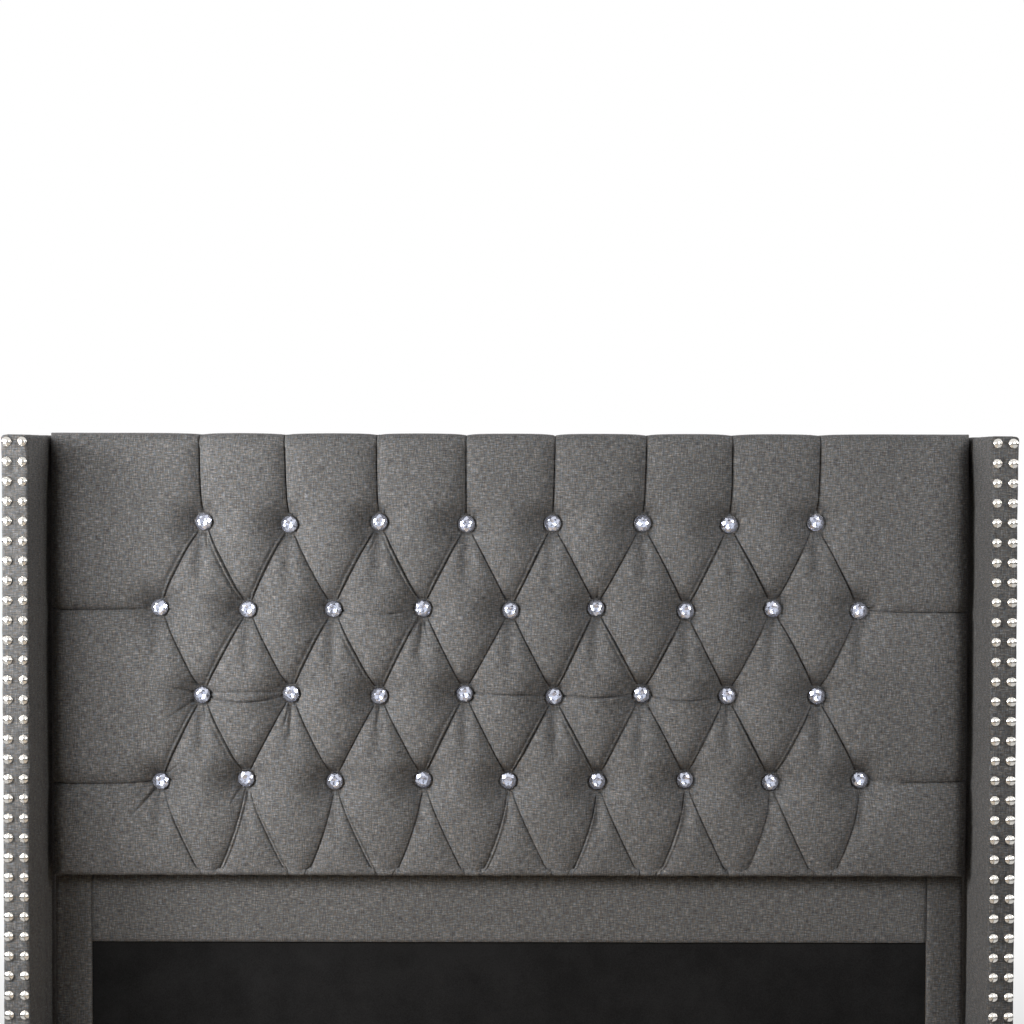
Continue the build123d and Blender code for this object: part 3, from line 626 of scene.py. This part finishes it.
def broad_shape():
    """The pad's pillows: a hollow round each button, along each pleat and below each button, run together."""
    xs = np.arange(-CLOTH_X - 0.03, CLOTH_X + 0.03, STEP)
    zs = np.arange(CLOTH_BOTTOM - 0.03, CLOTH_TOP + 0.03, STEP)
    x, z = np.meshgrid(xs, zs, indexing="ij")
    total = np.zeros_like(x)
    for bx, bz in BUTTONS:
        dx, dz = x - bx, z - bz
        reach_x = FUNNEL_X * (1 + rng.normal(0, 0.04))
        below = FUNNEL_DOWN if bz > ROW4_Z + 0.05 else FUNNEL_DOWN * 0.95
        reach_z = np.where(dz > 0, FUNNEL_UP, below)
        radius = np.hypot(dx, dz)
        reach = radius / np.maximum(np.hypot(dx / reach_x, dz / reach_z), 1e-6)
        share = np.clip((radius - BUTTON_R) / (reach - BUTTON_R), 0, 1)
        rim = RIM_SINK * np.exp(-np.maximum(radius - BUTTON_R, 0) / RIM_REACH)
        total += (FUNNEL_SINK * (1 - share) ** FUNNEL_POWER + rim) ** CROWN_SAG
        down_share = np.clip(-dz / PULL_LENGTH, 0, 1)
        pull = PULL_SINK * (1 + rng.normal(0, 0.12)) * (1 - down_share) ** 0.9 * (dz < 0)
        drift = rng.normal(0.0, 0.03)
        aside = softened(np.abs(dx - drift * -dz), 0.004)
        total += (pull * np.exp(-aside / PULL_REACH)) ** CROWN_SAG
    for crease in PLEATS:
        t, side, distance = crease.coordinates(x, z)
        near = distance < 0.12
        hollow = pleat_sink(crease, t[near]) * np.exp(-softened(distance[near]) / crease.reach)
        total[near] += hollow**CROWN_SAG
    depth = total ** (1 / CROWN_SAG)
    every = 12
    coarse_x, coarse_z = np.meshgrid(xs[::every], zs[::every], indexing="ij")
    places = np.column_stack([coarse_x.ravel(), np.zeros(coarse_x.size), coarse_z.ravel()])
    lumps = smooth_noise(places, 16.0, 3).reshape(coarse_x.shape)
    depth += LUMPS * sampled((xs[::every], zs[::every], lumps), x, z)
    for _ in range(2):
        inner = depth[1:-1, 1:-1]
        around = depth[2:, 1:-1] + depth[:-2, 1:-1] + depth[1:-1, 2:] + depth[1:-1, :-2]
        depth[1:-1, 1:-1] = (inner + around) / 5
    return xs, zs, depth


def sampled(grid, x, z):
    """The value between the points of an even grid."""
    xs, zs, values = grid
    step = xs[1] - xs[0]
    fx = np.clip((x - xs[0]) / step, 0, len(xs) - 1.001)
    fz = np.clip((z - zs[0]) / step, 0, len(zs) - 1.001)
    ix, iz = fx.astype(int), fz.astype(int)
    tx, tz = fx - ix, fz - iz
    low = values[ix, iz] * (1 - tz) + values[ix, iz + 1] * tz
    high = values[ix + 1, iz] * (1 - tz) + values[ix + 1, iz + 1] * tz
    return low * (1 - tx) + high * tx


# Folds that are seen on the cover: (row, place, direction in degrees, length, depth, width), from a button
BUTTON_FOLDS = (
    (0, 0, 282, 0.045, 0.7, 1.3),
    (0, 2, 252, 0.050, 0.6, 1.3),
    (0, 3, 100, 0.030, 0.5, 1.1),
    (1, 0, 158, 0.050, 0.7, 1.3),
    (1, 3, 248, 0.045, 0.8, 1.2),
    (1, 3, 266, 0.050, 0.9, 1.2),
    (1, 3, 284, 0.045, 0.8, 1.2),
    (1, 5, 88, 0.034, 0.5, 1.2),
    (1, 8, 12, 0.034, 0.5, 1.1),
    (2, 0, 163, 0.052, 0.9, 1.4),
    (2, 0, 214, 0.055, 0.8, 1.5),
    (2, 0, 286, 0.034, 0.7, 1.1),
    (2, 1, 258, 0.050, 0.9, 1.3),
    (2, 1, 271, 0.064, 0.9, 1.3),
    (2, 2, 266, 0.050, 0.8, 1.4),
    (2, 6, 270, 0.036, 0.6, 1.2),
    (3, 0, 231, 0.062, 1.2, 1.6),
    (3, 0, 18, 0.034, 0.8, 1.1),
    (3, 0, 42, 0.045, 0.6, 1.3),
    (3, 1, 276, 0.045, 0.8, 1.2),
    (3, 1, 240, 0.040, 0.7, 1.3),
    (3, 2, 262, 0.035, 0.6, 1.2),
    (3, 8, 320, 0.040, 0.6, 1.4),
)
# Folds from one button to the next: (row, place, bow, depth)
CROSS_FOLDS = (
    (2, 0, 0.012, 1.0),
    (2, 0, -0.006, 0.55),
    (1, 2, 0.009, 0.65),
    (2, 3, -0.002, 0.9),
    (2, 4, 0.002, 1.0),
    (2, 5, 0.008, 0.6),
)


def radial_fold(centre, angle, length, **settings):
    """A wrinkle that leaves a button and dies away."""
    direction = np.array([math.cos(angle), math.sin(angle)])
    start = np.array(centre) + 0.012 * direction
    return Crease(start, start + length * direction, fade=(0.0, 1.0), **settings)


def small_wrinkles():
    """Short folds that spread from every button."""
    made = []
    for centre in BUTTONS:
        for _ in range(rng.integers(3, 6)):
            angle, length = rng.uniform(0, 2 * math.pi), rng.uniform(0.015, 0.035)
            bow, depth, width = rng.normal(0, 0.002), rng.uniform(0.25, 0.6), rng.uniform(0.9, 1.5)
            made.append(radial_fold(centre, angle, length, bow=bow, depth=depth, width=width))
    return made


def long_folds():
    """Folds that run out from some buttons, or from one button to the next."""
    made = []
    for row, place, degrees, length, depth, width in BUTTON_FOLDS:
        settings = {"bow": rng.normal(0, 0.0025), "depth": 1.5 * depth, "width": width}
        made.append(radial_fold(ROWS[row][place], math.radians(degrees), length, **settings))
    for row, place, bow, depth in CROSS_FOLDS:
        start, end = ROWS[row][place], ROWS[row][place + 1]
        made.append(Crease(start, end, bow=bow, depth=1.4 * depth, width=1.2, fade=(0.05, 0.35)))
    return made


SMALL_WRINKLES = small_wrinkles()
LONG_FOLDS = long_folds()


def hump(distance, width):
    return np.exp(-((distance / width) ** 2))


def fine_relief(x, z):
    """Sharp creases, folded lips and wrinkles, as depth below the broad shape."""
    depth = np.zeros_like(x)
    for crease in PLEATS:
        t, side, distance = crease.coordinates(x, z)
        groove = GROOVE_DEPTH * crease.depth * hump(distance, GROOVE_WIDTH)
        groove += DIP_DEPTH * crease.depth * np.exp(-distance / DIP_REACH)
        if crease.lip:
            middle = np.sin(math.pi * np.clip(t, 0, 1)) ** 0.5
            gap = LIP_WIDTH * middle + 0.0006
            lip = crease.lip * middle * (distance < 0.02)
            groove += SECOND_DEPTH * lip * hump(side - gap, SECOND_WIDTH)
            groove -= LIP_RISE * lip * hump(side - gap / 2, LIP_SPREAD)
        depth += groove * crease.strength(t)
    for bx, bz in BUTTONS:
        radius = np.hypot(x - bx, z - bz)
        depth += WELL / (1 + np.exp(np.minimum((radius - BUTTON_R) / WELL_EDGE, 700)))
        near = radius < 0.05
        angle = np.arctan2(z[near] - bz, x[near] - bx)
        gathers = np.sin(7 * angle + rng.uniform(0, 6)) + np.sin(12 * angle + rng.uniform(0, 6))
        depth[near] += GATHER_DEPTH * gathers * np.exp(-np.abs(radius[near] - 0.018) / 0.009)
    for crease in SMALL_WRINKLES + LONG_FOLDS:
        t, side, distance = crease.coordinates(x, z)
        near = distance < 0.02
        width = FOLD_WIDTH * crease.width
        fold = hump(distance[near], width) - 0.45 * hump(side[near] - 2.1 * width, 1.5 * width)
        depth[near] += FOLD_DEPTH * crease.depth * fold * crease.strength(t[near])
    return depth


LONGEST_EDGE = 0.0018  # near a fold


def refine(mesh):
    """Splits long edges near the folds that the mesh's own lines don't follow."""
    outer = [crease for crease in PLEATS if abs(crease.end[0]) > PAD_X or crease.end[1] > PAD_HIGH.z]
    folds = [(crease, FOLD_WIDTH) for crease in outer]
    folds += [(crease, 0.0019 * crease.width) for crease in LONG_FOLDS]
    for _ in range(3):
        mesh.edges.ensure_lookup_table()
        ends = np.array([(*edge.verts[0].co.xz, *edge.verts[1].co.xz) for edge in mesh.edges])
        length = np.hypot(ends[:, 2] - ends[:, 0], ends[:, 3] - ends[:, 1])
        x, z = (ends[:, 0] + ends[:, 2]) / 2, (ends[:, 1] + ends[:, 3]) / 2
        close = np.zeros(len(length), bool)
        for crease, band in folds:
            close |= crease.coordinates(x, z)[2] < band + 0.25 * length
        marked = [mesh.edges[i] for i in np.flatnonzero(close & (length > LONGEST_EDGE))]
        bmesh.ops.subdivide_edges(mesh, edges=marked, cuts=1)
        bmesh.ops.triangulate(mesh, faces=[face for face in mesh.faces if len(face.verts) > 3])


def cut_cloth():
    """The cover as a flat mesh, trimmed to its outline and without its four corners."""
    cloth, triangles = lattice_mesh()
    mesh = bmesh.new()
    for cx, cz in cloth:
        mesh.verts.new((cx, 0, cz))
    mesh.verts.ensure_lookup_table()
    for a, b, c in triangles:
        mesh.faces.new((mesh.verts[a], mesh.verts[b], mesh.verts[c]))
    for point, normal in (
        ((CLOTH_X, 0, 0), (1, 0, 0)),
        ((-CLOTH_X, 0, 0), (-1, 0, 0)),
        ((0, 0, CLOTH_TOP), (0, 0, 1)),
        ((0, 0, CLOTH_BOTTOM), (0, 0, -1)),
    ):
        whole = mesh.verts[:] + mesh.edges[:] + mesh.faces[:]
        bmesh.ops.bisect_plane(mesh, geom=whole, plane_co=point, plane_no=normal, clear_outer=True, dist=1e-6)
    corners = []
    for face in mesh.faces:
        middle = face.calc_center_median()
        if abs(middle.x) > SIDE_END and not FOOT_END < middle.z < TOP_END:
            corners.append(face)
    bmesh.ops.delete(mesh, geom=corners, context="FACES")
    return mesh


def tufted_cover():
    grid = broad_shape()
    mesh = cut_cloth()
    refine(mesh)
    made = bpy.data.meshes.new("tufted_cover_cloth")
    mesh.to_mesh(made)
    mesh.free()
    x, _, z = vertex_places(made).T
    depth = sampled(grid, x, z) + FOOT_SINK * np.clip(1 - (z - PAD_LOW.z) / FOOT_SINK_REACH, 0, 1) ** 2
    creases = fine_relief(x, z)
    over = eased((z - (PAD_HIGH.z - EDGE_R - 0.012)) / 0.05)
    depth *= 1 - 0.85 * over
    creases *= 1 - 0.6 * over
    edge = np.minimum(SIDE_END - np.abs(x), 1.6 * (z - FOOT_END))
    edge = np.where(z > TOP_END, np.minimum(edge, 0.5 * (CLOTH_TOP - z)), edge)
    depth = depth * np.clip(edge / 0.02, 0, 1) + creases * np.clip(edge / 0.006, 0, 1)
    made.vertices.foreach_set("co", wrap(x, z, np.minimum(depth, FLOOR_DEPTH)).ravel())
    made.update()
    made.materials.append(LINEN)
    made.shade_smooth()
    lay_weave(made, x, z)
    cover = bpy.data.objects.new("tufted_cover_cloth", made)
    scene.collection.objects.link(cover)
    adopt(cover, "grey_linen", "tufted_cover", "tufted_foam", fill=0.85)


tufted_cover()


# ---- crystal buttons ----
TABLE_Y = -0.0044  # of a crystal's flat front, from its girdle


def gem_mesh():
    """(vertices, faces, material numbers) of one faceted crystal that looks along -Y, about its girdle. Its
    table is clear, and a smaller set of facets glitters behind it."""
    sides = 8
    table_r, kite_r, girdle_r, inner_r = 0.0078, 0.0108, 0.0142, 0.0046
    kite_y, girdle_y, back_y = -0.0032, -0.0006, 0.0012
    vertices, faces, slots = [], [], []

    def ring(count, r, y, turn=0.0):
        first = len(vertices)
        for step in range(count):
            angle = 2 * math.pi * (step + turn) / count
            vertices.append((r * math.cos(angle), y, r * math.sin(angle)))
        return [first + step for step in range(count)]

    table = ring(sides, table_r, TABLE_Y)
    kite = ring(sides, kite_r, kite_y, 0.5)
    girdle = ring(sides * 2, girdle_r, girdle_y)
    back = ring(sides * 2, girdle_r, back_y)
    for step in range(sides):
        after = (step + 1) % sides
        before_kite = kite[step - 1]
        g0, g1, g2 = girdle[2 * step - 1], girdle[2 * step], girdle[2 * step + 1]
        faces += [
            (table[step], table[after], kite[step]),
            (table[step], kite[step], g1),
            (table[step], g1, before_kite),
            (kite[step], g2, g1),
            (before_kite, g1, g0),
        ]
    slots += [0] * len(faces)
    for step in range(sides * 2):
        after = (step + 1) % (sides * 2)
        faces.append((girdle[step], girdle[after], back[after], back[step]))
        slots.append(0)
    inner = ring(sides, table_r, TABLE_Y + 0.0003)
    mid = ring(sides, inner_r, TABLE_Y + 0.0022, 0.5)
    vertices.append((0, TABLE_Y + 0.0042, 0))
    culet = len(vertices) - 1
    for step in range(sides):
        after = (step + 1) % sides
        faces += [
            (inner[step], inner[after], mid[step]),
            (inner[after], mid[after], mid[step]),
            (mid[step], mid[after], culet),
        ]
        slots += [0, 0, 0]
    faces.append(tuple(reversed(table)))
    slots.append(1)
    return vertices, faces, slots


def crystal_buttons():
    vertices, faces, slots = gem_mesh()
    girdle_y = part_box("button_crystals")[0].y - TABLE_Y
    all_vertices, all_faces, all_slots = [], [], []
    for bx, bz in BUTTONS:
        turn = Euler((rng.normal(0, 0.05), 0, rng.normal(0, 0.05))).to_matrix() @ Matrix.Rotation(
            rng.uniform(0, math.pi), 3, "Y"
        )
        first = len(all_vertices)
        for vertex in vertices:
            all_vertices.append(turn @ Vector(vertex) + Vector((bx, girdle_y, bz)))
        all_faces += [tuple(first + index for index in face) for face in faces]
        all_slots += slots
    made = add_object("crystal_buttons", all_vertices, all_faces, CRYSTAL_FACETS, CRYSTAL_TABLE, smooth=False)
    made.data.polygons.foreach_set("material_index", all_slots)
    adopt(made, "crystal", "button_crystals")


crystal_buttons()


# ---- padded boxes: wings, rails and footboard ----
def grid_quads(rows, columns, first=0, flipped=False):
    """The faces of a grid of rows x columns points."""
    quads = []
    for i in range(rows - 1):
        for j in range(columns - 1):
            corner = first + i * columns + j
            quad = (corner, corner + columns, corner + columns + 1, corner + 1)
            quads.append(quad[::-1] if flipped else quad)
    return quads


def padded_box(name, low, high, radius, spacing, material, relief, skip):
    """A box with rounded edges, as a fine mesh. relief(points, normals) gives how far out each point moves.
    skip names faces that are left off, such as ("-z",)."""
    low, high = np.array(low, float), np.array(high, float)
    vertices, faces = [], []
    for axis in range(3):
        first, second = (axis + 1) % 3, (axis + 2) % 3
        for sign in (-1, 1):
            if f"{'-' if sign < 0 else '+'}{'xyz'[axis]}" in skip:
                continue
            lines = []
            for direction in (first, second):
                count = max(4, int(round((high[direction] - low[direction]) / spacing)))
                lines.append(np.linspace(low[direction], high[direction], count + 1))
            a, b = np.meshgrid(*lines, indexing="ij")
            points = np.empty((a.size, 3))
            points[:, first], points[:, second] = a.ravel(), b.ravel()
            points[:, axis] = high[axis] if sign > 0 else low[axis]
            faces += grid_quads(*a.shape, first=sum(len(v) for v in vertices), flipped=sign < 0)
            vertices.append(points)
    points = np.concatenate(vertices)
    open_low, open_high = low + radius, high - radius
    for face in skip:
        axis = "xyz".index(face[1])
        if face[0] == "-":
            open_low[axis] = -1e3
        else:
            open_high[axis] = 1e3
    core = np.clip(points, open_low, open_high)
    outward = points - core
    length = np.linalg.norm(outward, axis=1, keepdims=True)
    normals = outward / np.maximum(length, 1e-9)
    rounded = core + normals * np.minimum(length, radius)
    rounded += normals * relief(rounded, normals)[:, None]
    mesh = bmesh.new()
    for point in rounded:
        mesh.verts.new(point)
    mesh.verts.ensure_lookup_table()
    for quad in faces:
        mesh.faces.new([mesh.verts[i] for i in quad])
    bmesh.ops.remove_doubles(mesh, verts=mesh.verts, dist=1e-5)
    data = bpy.data.meshes.new(name)
    mesh.to_mesh(data)
    mesh.free()
    data.materials.append(material)
    data.shade_smooth()
    lay_weave_round(data)
    made = bpy.data.objects.new(name, data)
    scene.collection.objects.link(made)
    return made


def wing_relief(name, side):
    """A wing's cloth: dented by its nails, streaked in front, hollow beside the pad, gathered at the top."""
    nails = clusters(node_points(f"wing_nailheads_{name}"), 0.012)

    def relief(points, normals):
        out = 0.0008 * smooth_noise(points, 14.0, side) + 0.0002 * smooth_noise(points, 45.0, side + 4)
        facing = np.clip(-normals[:, 1], 0, 1)
        press = np.zeros(len(points))
        for nx, nz in nails:
            near = (np.abs(points[:, 0] - nx) < 0.02) & (np.abs(points[:, 2] - nz) < 0.02)
            if near.any():
                distance = np.hypot(points[near, 0] - nx, points[near, 2] - nz)
                press[near] += hump(distance, 0.009)
        out -= 0.0012 * press * facing
        streaks = smooth_noise(points * np.array([1.0, 1.0, 0.07]), 150.0, side + 8)
        out += 0.0009 * streaks * facing
        inward = np.clip(-side * normals[:, 0], 0, 1)
        deep = eased((points[:, 1] - (PAD_LOW.y - 0.038)) / 0.018)
        below_top = np.clip((TOP_Z - points[:, 2]) / 0.12, 0, 1)
        out -= 0.0058 * inward * deep * below_top
        out += 0.0013 * smooth_noise(points * np.array([1.0, 1.0, 0.06]), 55.0, side + 6) * inward
        gathers = np.sin(points[:, 1] * 420 + 3 * np.sin(points[:, 1] * 90))
        gathers *= 0.0022 * np.exp(-(TOP_Z - points[:, 2]) / 0.012)
        out += gathers * np.clip(1 - normals[:, 2] * 0.4, 0, 1) * (points[:, 1] > WING_LOW.y + 0.004)
        return out - 0.001

    return relief


def rail_relief(seed, bulge):
    def relief(points, normals):
        middle_z = (points[:, 2].max() + points[:, 2].min()) / 2
        half = (points[:, 2].max() - points[:, 2].min()) / 2
        crown = 1 - ((points[:, 2] - middle_z) / half) ** 2
        facing = np.clip(np.hypot(normals[:, 0], normals[:, 1]), 0, 1)
        folds = 0.0011 * smooth_noise(points * np.array([1.0, 1.0, 2.2]), 9.0, seed)
        fine = 0.0002 * smooth_noise(points, 40.0, seed + 2)
        return bulge * crown * facing + folds + fine - 0.001

    return relief


def upholster(part, side_name, radius, spacing, material, relief, skip):
    """Cloth in place of a part's CAD cover and foam."""
    cover, foam = f"{part}_cover{side_name}", f"{part}_foam{side_name}"
    low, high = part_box(cover)
    piece = padded_box(f"{part}{side_name}_cloth", low, high, radius, spacing, material, relief, skip)
    adopt(piece, "grey_linen", cover, foam, fill=0.9)


for name, side in SIDES.items():
    upholster("wing", f"_{name}", 0.008, 0.0045, LINEN_WING_PAINTED_SHADE, wing_relief(name, side), ("-z",))
for name, side in SIDES.items():
    relief = rail_relief(side + 3, 0.002)
    upholster("side_rail", f"_{name}", 0.011, 0.0085, LINEN_FLAT_PAINTED_SHADE, relief, ("-y", "+y"))
upholster("footboard", "", 0.016, 0.0075, LINEN_FLAT_PAINTED_SHADE, rail_relief(9, 0.003), ("-z",))


# ---- flat panels of the lower headboard ----
def border(cad_node, seed):
    low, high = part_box(cad_node)

    def relief(points, normals):
        return 0.0006 * smooth_noise(points, 11.0, seed) + 0.00021 * smooth_noise(points, 40.0, seed + 1)

    radius = (high.y - low.y) * 0.45
    piece = padded_box(f"{cad_node}_cloth", low, high, radius, 0.008, LINEN_FLAT_PAINTED_SHADE, relief, ("+y",))
    adopt(piece, "border_fabric", cad_node, fill=0.95)


border("border_band", 1)
for name in SIDES:
    border(f"border_strip_{name}", 2)


def taut_sheet(name, cad_node, material, slot, facing):
    """A thin cloth stretched over a frame. facing is -1 towards the foot end, or 1 towards the back."""
    low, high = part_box(cad_node)
    spacing = 0.012
    columns = int((high.x - low.x) / spacing)
    rows = int((high.z - low.z) / spacing)
    xs, zs = np.linspace(low.x, high.x, columns + 1), np.linspace(low.z, high.z, rows + 1)
    x, z = np.meshgrid(xs, zs, indexing="ij")
    edge = np.minimum(np.minimum(x - low.x, high.x - x), np.minimum(z - low.z, high.z - z))
    points = np.column_stack([x.ravel(), np.zeros(x.size), z.ravel()])
    ripple = 0.0007 * smooth_noise(points, 6.0, facing) + 0.0004 * smooth_noise(points, 25.0, 2)
    surface = high.y if facing > 0 else low.y
    points[:, 1] = surface + facing * (ripple * np.clip(edge.ravel() / 0.05, 0, 1) - 0.0002)
    piece = add_object(name, points, grid_quads(columns + 1, rows + 1, flipped=facing > 0), material)
    lay_weave_round(piece.data)
    adopt(piece, slot, cad_node)


taut_sheet("black_panel_cloth", "black_panel_cover", BLACK_LINING, "black_fabric", -1)
taut_sheet("back_dust_cover", "headboard_back_cover", DUST_COVER, "dust_cover", 1)

# ---- CAD pieces keep their shape and get their material, by the first of these that their name starts with.
# The others, such as bolts, screws and levelling feet, are zinc-plated steel. ----
CAD_MATERIALS = {
    "wing_nailheads": NICKEL,
    "button_settings": SETTING,
    "tufting_twines": TWINE,
    "twine_anchors": BLACK_PLASTIC,
    "headboard_post": PINE_Z,
    "headboard_stile": PINE_Z,
    "headboard_": PINE_X,
    "upper_facing_board": PLYWOOD,
    "lower_facing_board": PLYWOOD,
    "wing_core": PINE_Z,
    "side_rail_core": PINE_Y,
    "ledger": PINE_Y,
    "footboard_core": PINE_X,
    "foot_leg": BLACK_WOOD,
    "floor_glides": BLACK_PLASTIC,
    "slats": SLAT_WOOD,
    "slat_straps": WEBBING,
    "centre_beam": PINE_Y,
    "centre_leg_inserts": ZINC,
    "centre_leg": PINE_Z,
    "beam_hanger": BLACK_STEEL,
    "corner_brackets": BLACK_STEEL,
}
for node_name, node_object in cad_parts.items():
    if node_object.hide_render:
        continue
    matches = [material for key, material in CAD_MATERIALS.items() if node_name.startswith(key)]
    node_object.data.materials.clear()
    node_object.data.materials.append(matches[0] if matches else ZINC)


# ---- studio ----
FLOOR_FADE = 4.0  # metres from the middle of the bed to where the floor is white


def add_light(name, place, target, size, power, spread=180):
    data = bpy.data.lights.new(name, "AREA")
    data.shape = "RECTANGLE"
    data.size, data.size_y = size
    data.energy = power
    data.spread = math.radians(spread)
    made = bpy.data.objects.new(name, data)
    scene.collection.objects.link(made)
    made.location = place
    made.rotation_euler = (Vector(target) - Vector(place)).to_track_quat("-Z", "Y").to_euler()


def background(tree, colour):
    return node(tree, "ShaderNodeBackground", {"Color": colour}).outputs[0]


def chosen_by_ray(tree, kind, usual, special):
    ray = node(tree, "ShaderNodeLightPath").outputs[kind]
    return node(tree, "ShaderNodeMixShader", {0: ray, 1: usual, 2: special}).outputs[0]


def studio():
    """Light that is stronger behind the headboard than in front of it. Reflections see a plain bright room
    with a dark band at eye level, and the camera sees white."""
    world = bpy.data.worlds.new("studio")
    scene.world = world
    world.use_nodes = True
    tree = world.node_tree
    tree.nodes.clear()
    direction = node(tree, "ShaderNodeTexCoord").outputs["Generated"]
    along = node(tree, "ShaderNodeSeparateXYZ", {0: direction}).outputs
    height = maths(tree, "MULTIPLY_ADD", along[2], 0.5, 0.5)
    behind = maths(tree, "MULTIPLY_ADD", along[1], 0.5, 0.5)
    room = ramp(tree, behind, [(0.45, 0.06), (0.55, 0.45), (1.0, 0.6)])
    room = multiplied(tree, room, ramp(tree, height, [(0.48, 0.3), (0.52, 1.0)]))
    below = [(0.0, 0.72), (0.36, 0.66), (0.4, 0.02)]
    above = [(0.48, 0.02), (0.51, 0.75), (0.7, 1.0), (1.0, 0.85)]
    mirrored = ramp(tree, height, below + above)
    lens = {0: direction, 1: (0.1, -0.87, 0.48)}
    toward = node(tree, "ShaderNodeVectorMath", lens, operation="DOT_PRODUCT").outputs[1]
    mirrored = multiplied(tree, mirrored, ramp(tree, toward, [(0.965, 1.0), (0.985, 0.04)]))
    lit = chosen_by_ray(tree, "Is Glossy Ray", background(tree, room), background(tree, mirrored))
    seen = chosen_by_ray(tree, "Is Camera Ray", lit, background(tree, (1, 1, 1, 1)))
    node(tree, "ShaderNodeOutputWorld", {"Surface": seen})
    add_light("softbox_left", (-1.3, -0.6, 1.75), (-0.4, 1.0, 1.15), (0.6, 0.8), 15.5)
    add_light("side_left", (-1.7, 0.1, 1.3), (-0.3, 1.0, 1.15), (0.5, 0.9), 17)
    add_light("near_left", (-1.05, 0.4, 1.15), (-0.3, 1.0, 1.0), (0.3, 0.8), 1.8)
    add_light("far_left", (-2.8, -0.2, 1.6), (-0.2, 1.0, 1.12), (0.9, 1.2), 34)
    add_light("softbox_right", (1.25, -0.5, 1.75), (0.4, 1.0, 1.15), (0.6, 0.8), 14.5)
    add_light("back_fill", (0.0, 4.6, 3.0), (0, 0.8, 0.8), (3.0, 2.0), 50)
    for side in (-1, 1):
        add_light(f"outer_fill_{side}", (side * 4.4, 1.7, 2.3), (side * 0.8, 0.0, 0.5), (2.0, 1.6), 30)
    add_light("foot_fill", (0.0, -4.6, 2.2), (0.0, -1.3, 0.1), (2.4, 0.8), 10, spread=26)
    scene.view_settings.view_transform = "Standard"


def floor():
    """A pale floor that fades to the white of the studio round it."""
    material, tree, shader = new_material("pale_floor", Roughness=0.7, Specular_IOR_Level=0.0)
    place = object_coordinates(tree)
    reach = node(tree, "ShaderNodeVectorMath", {0: place}, operation="LENGTH").outputs[1]
    reach = maths(tree, "MULTIPLY", reach, 1 / FLOOR_FADE)
    speckle = noise_value(tree, place, 4.0, 4.0, 0.6)
    fade = ramp(tree, reach, [(0.25, 1.0), (1.0, 0.0)], "EASE")
    pale = multiplied(tree, ramp(tree, speckle, [(0.3, 0.5), (0.7, 0.52)]), fade)
    tree.links.new(pale, shader.inputs["Base Color"])
    tree.links.new(ramp(tree, reach, [(0.25, 0.2), (1.0, 1.0)], "EASE"), shader.inputs["Emission Color"])
    shader.inputs["Emission Strength"].default_value = 1.0
    half = 30.0
    corners = [(-half, -half, 0), (half, -half, 0), (half, half, 0), (-half, half, 0)]
    ground = add_object("floor", corners, [(0, 1, 2, 3)], material)
    ground.visible_glossy = False
    ground.visible_diffuse = False


studio()
floor()
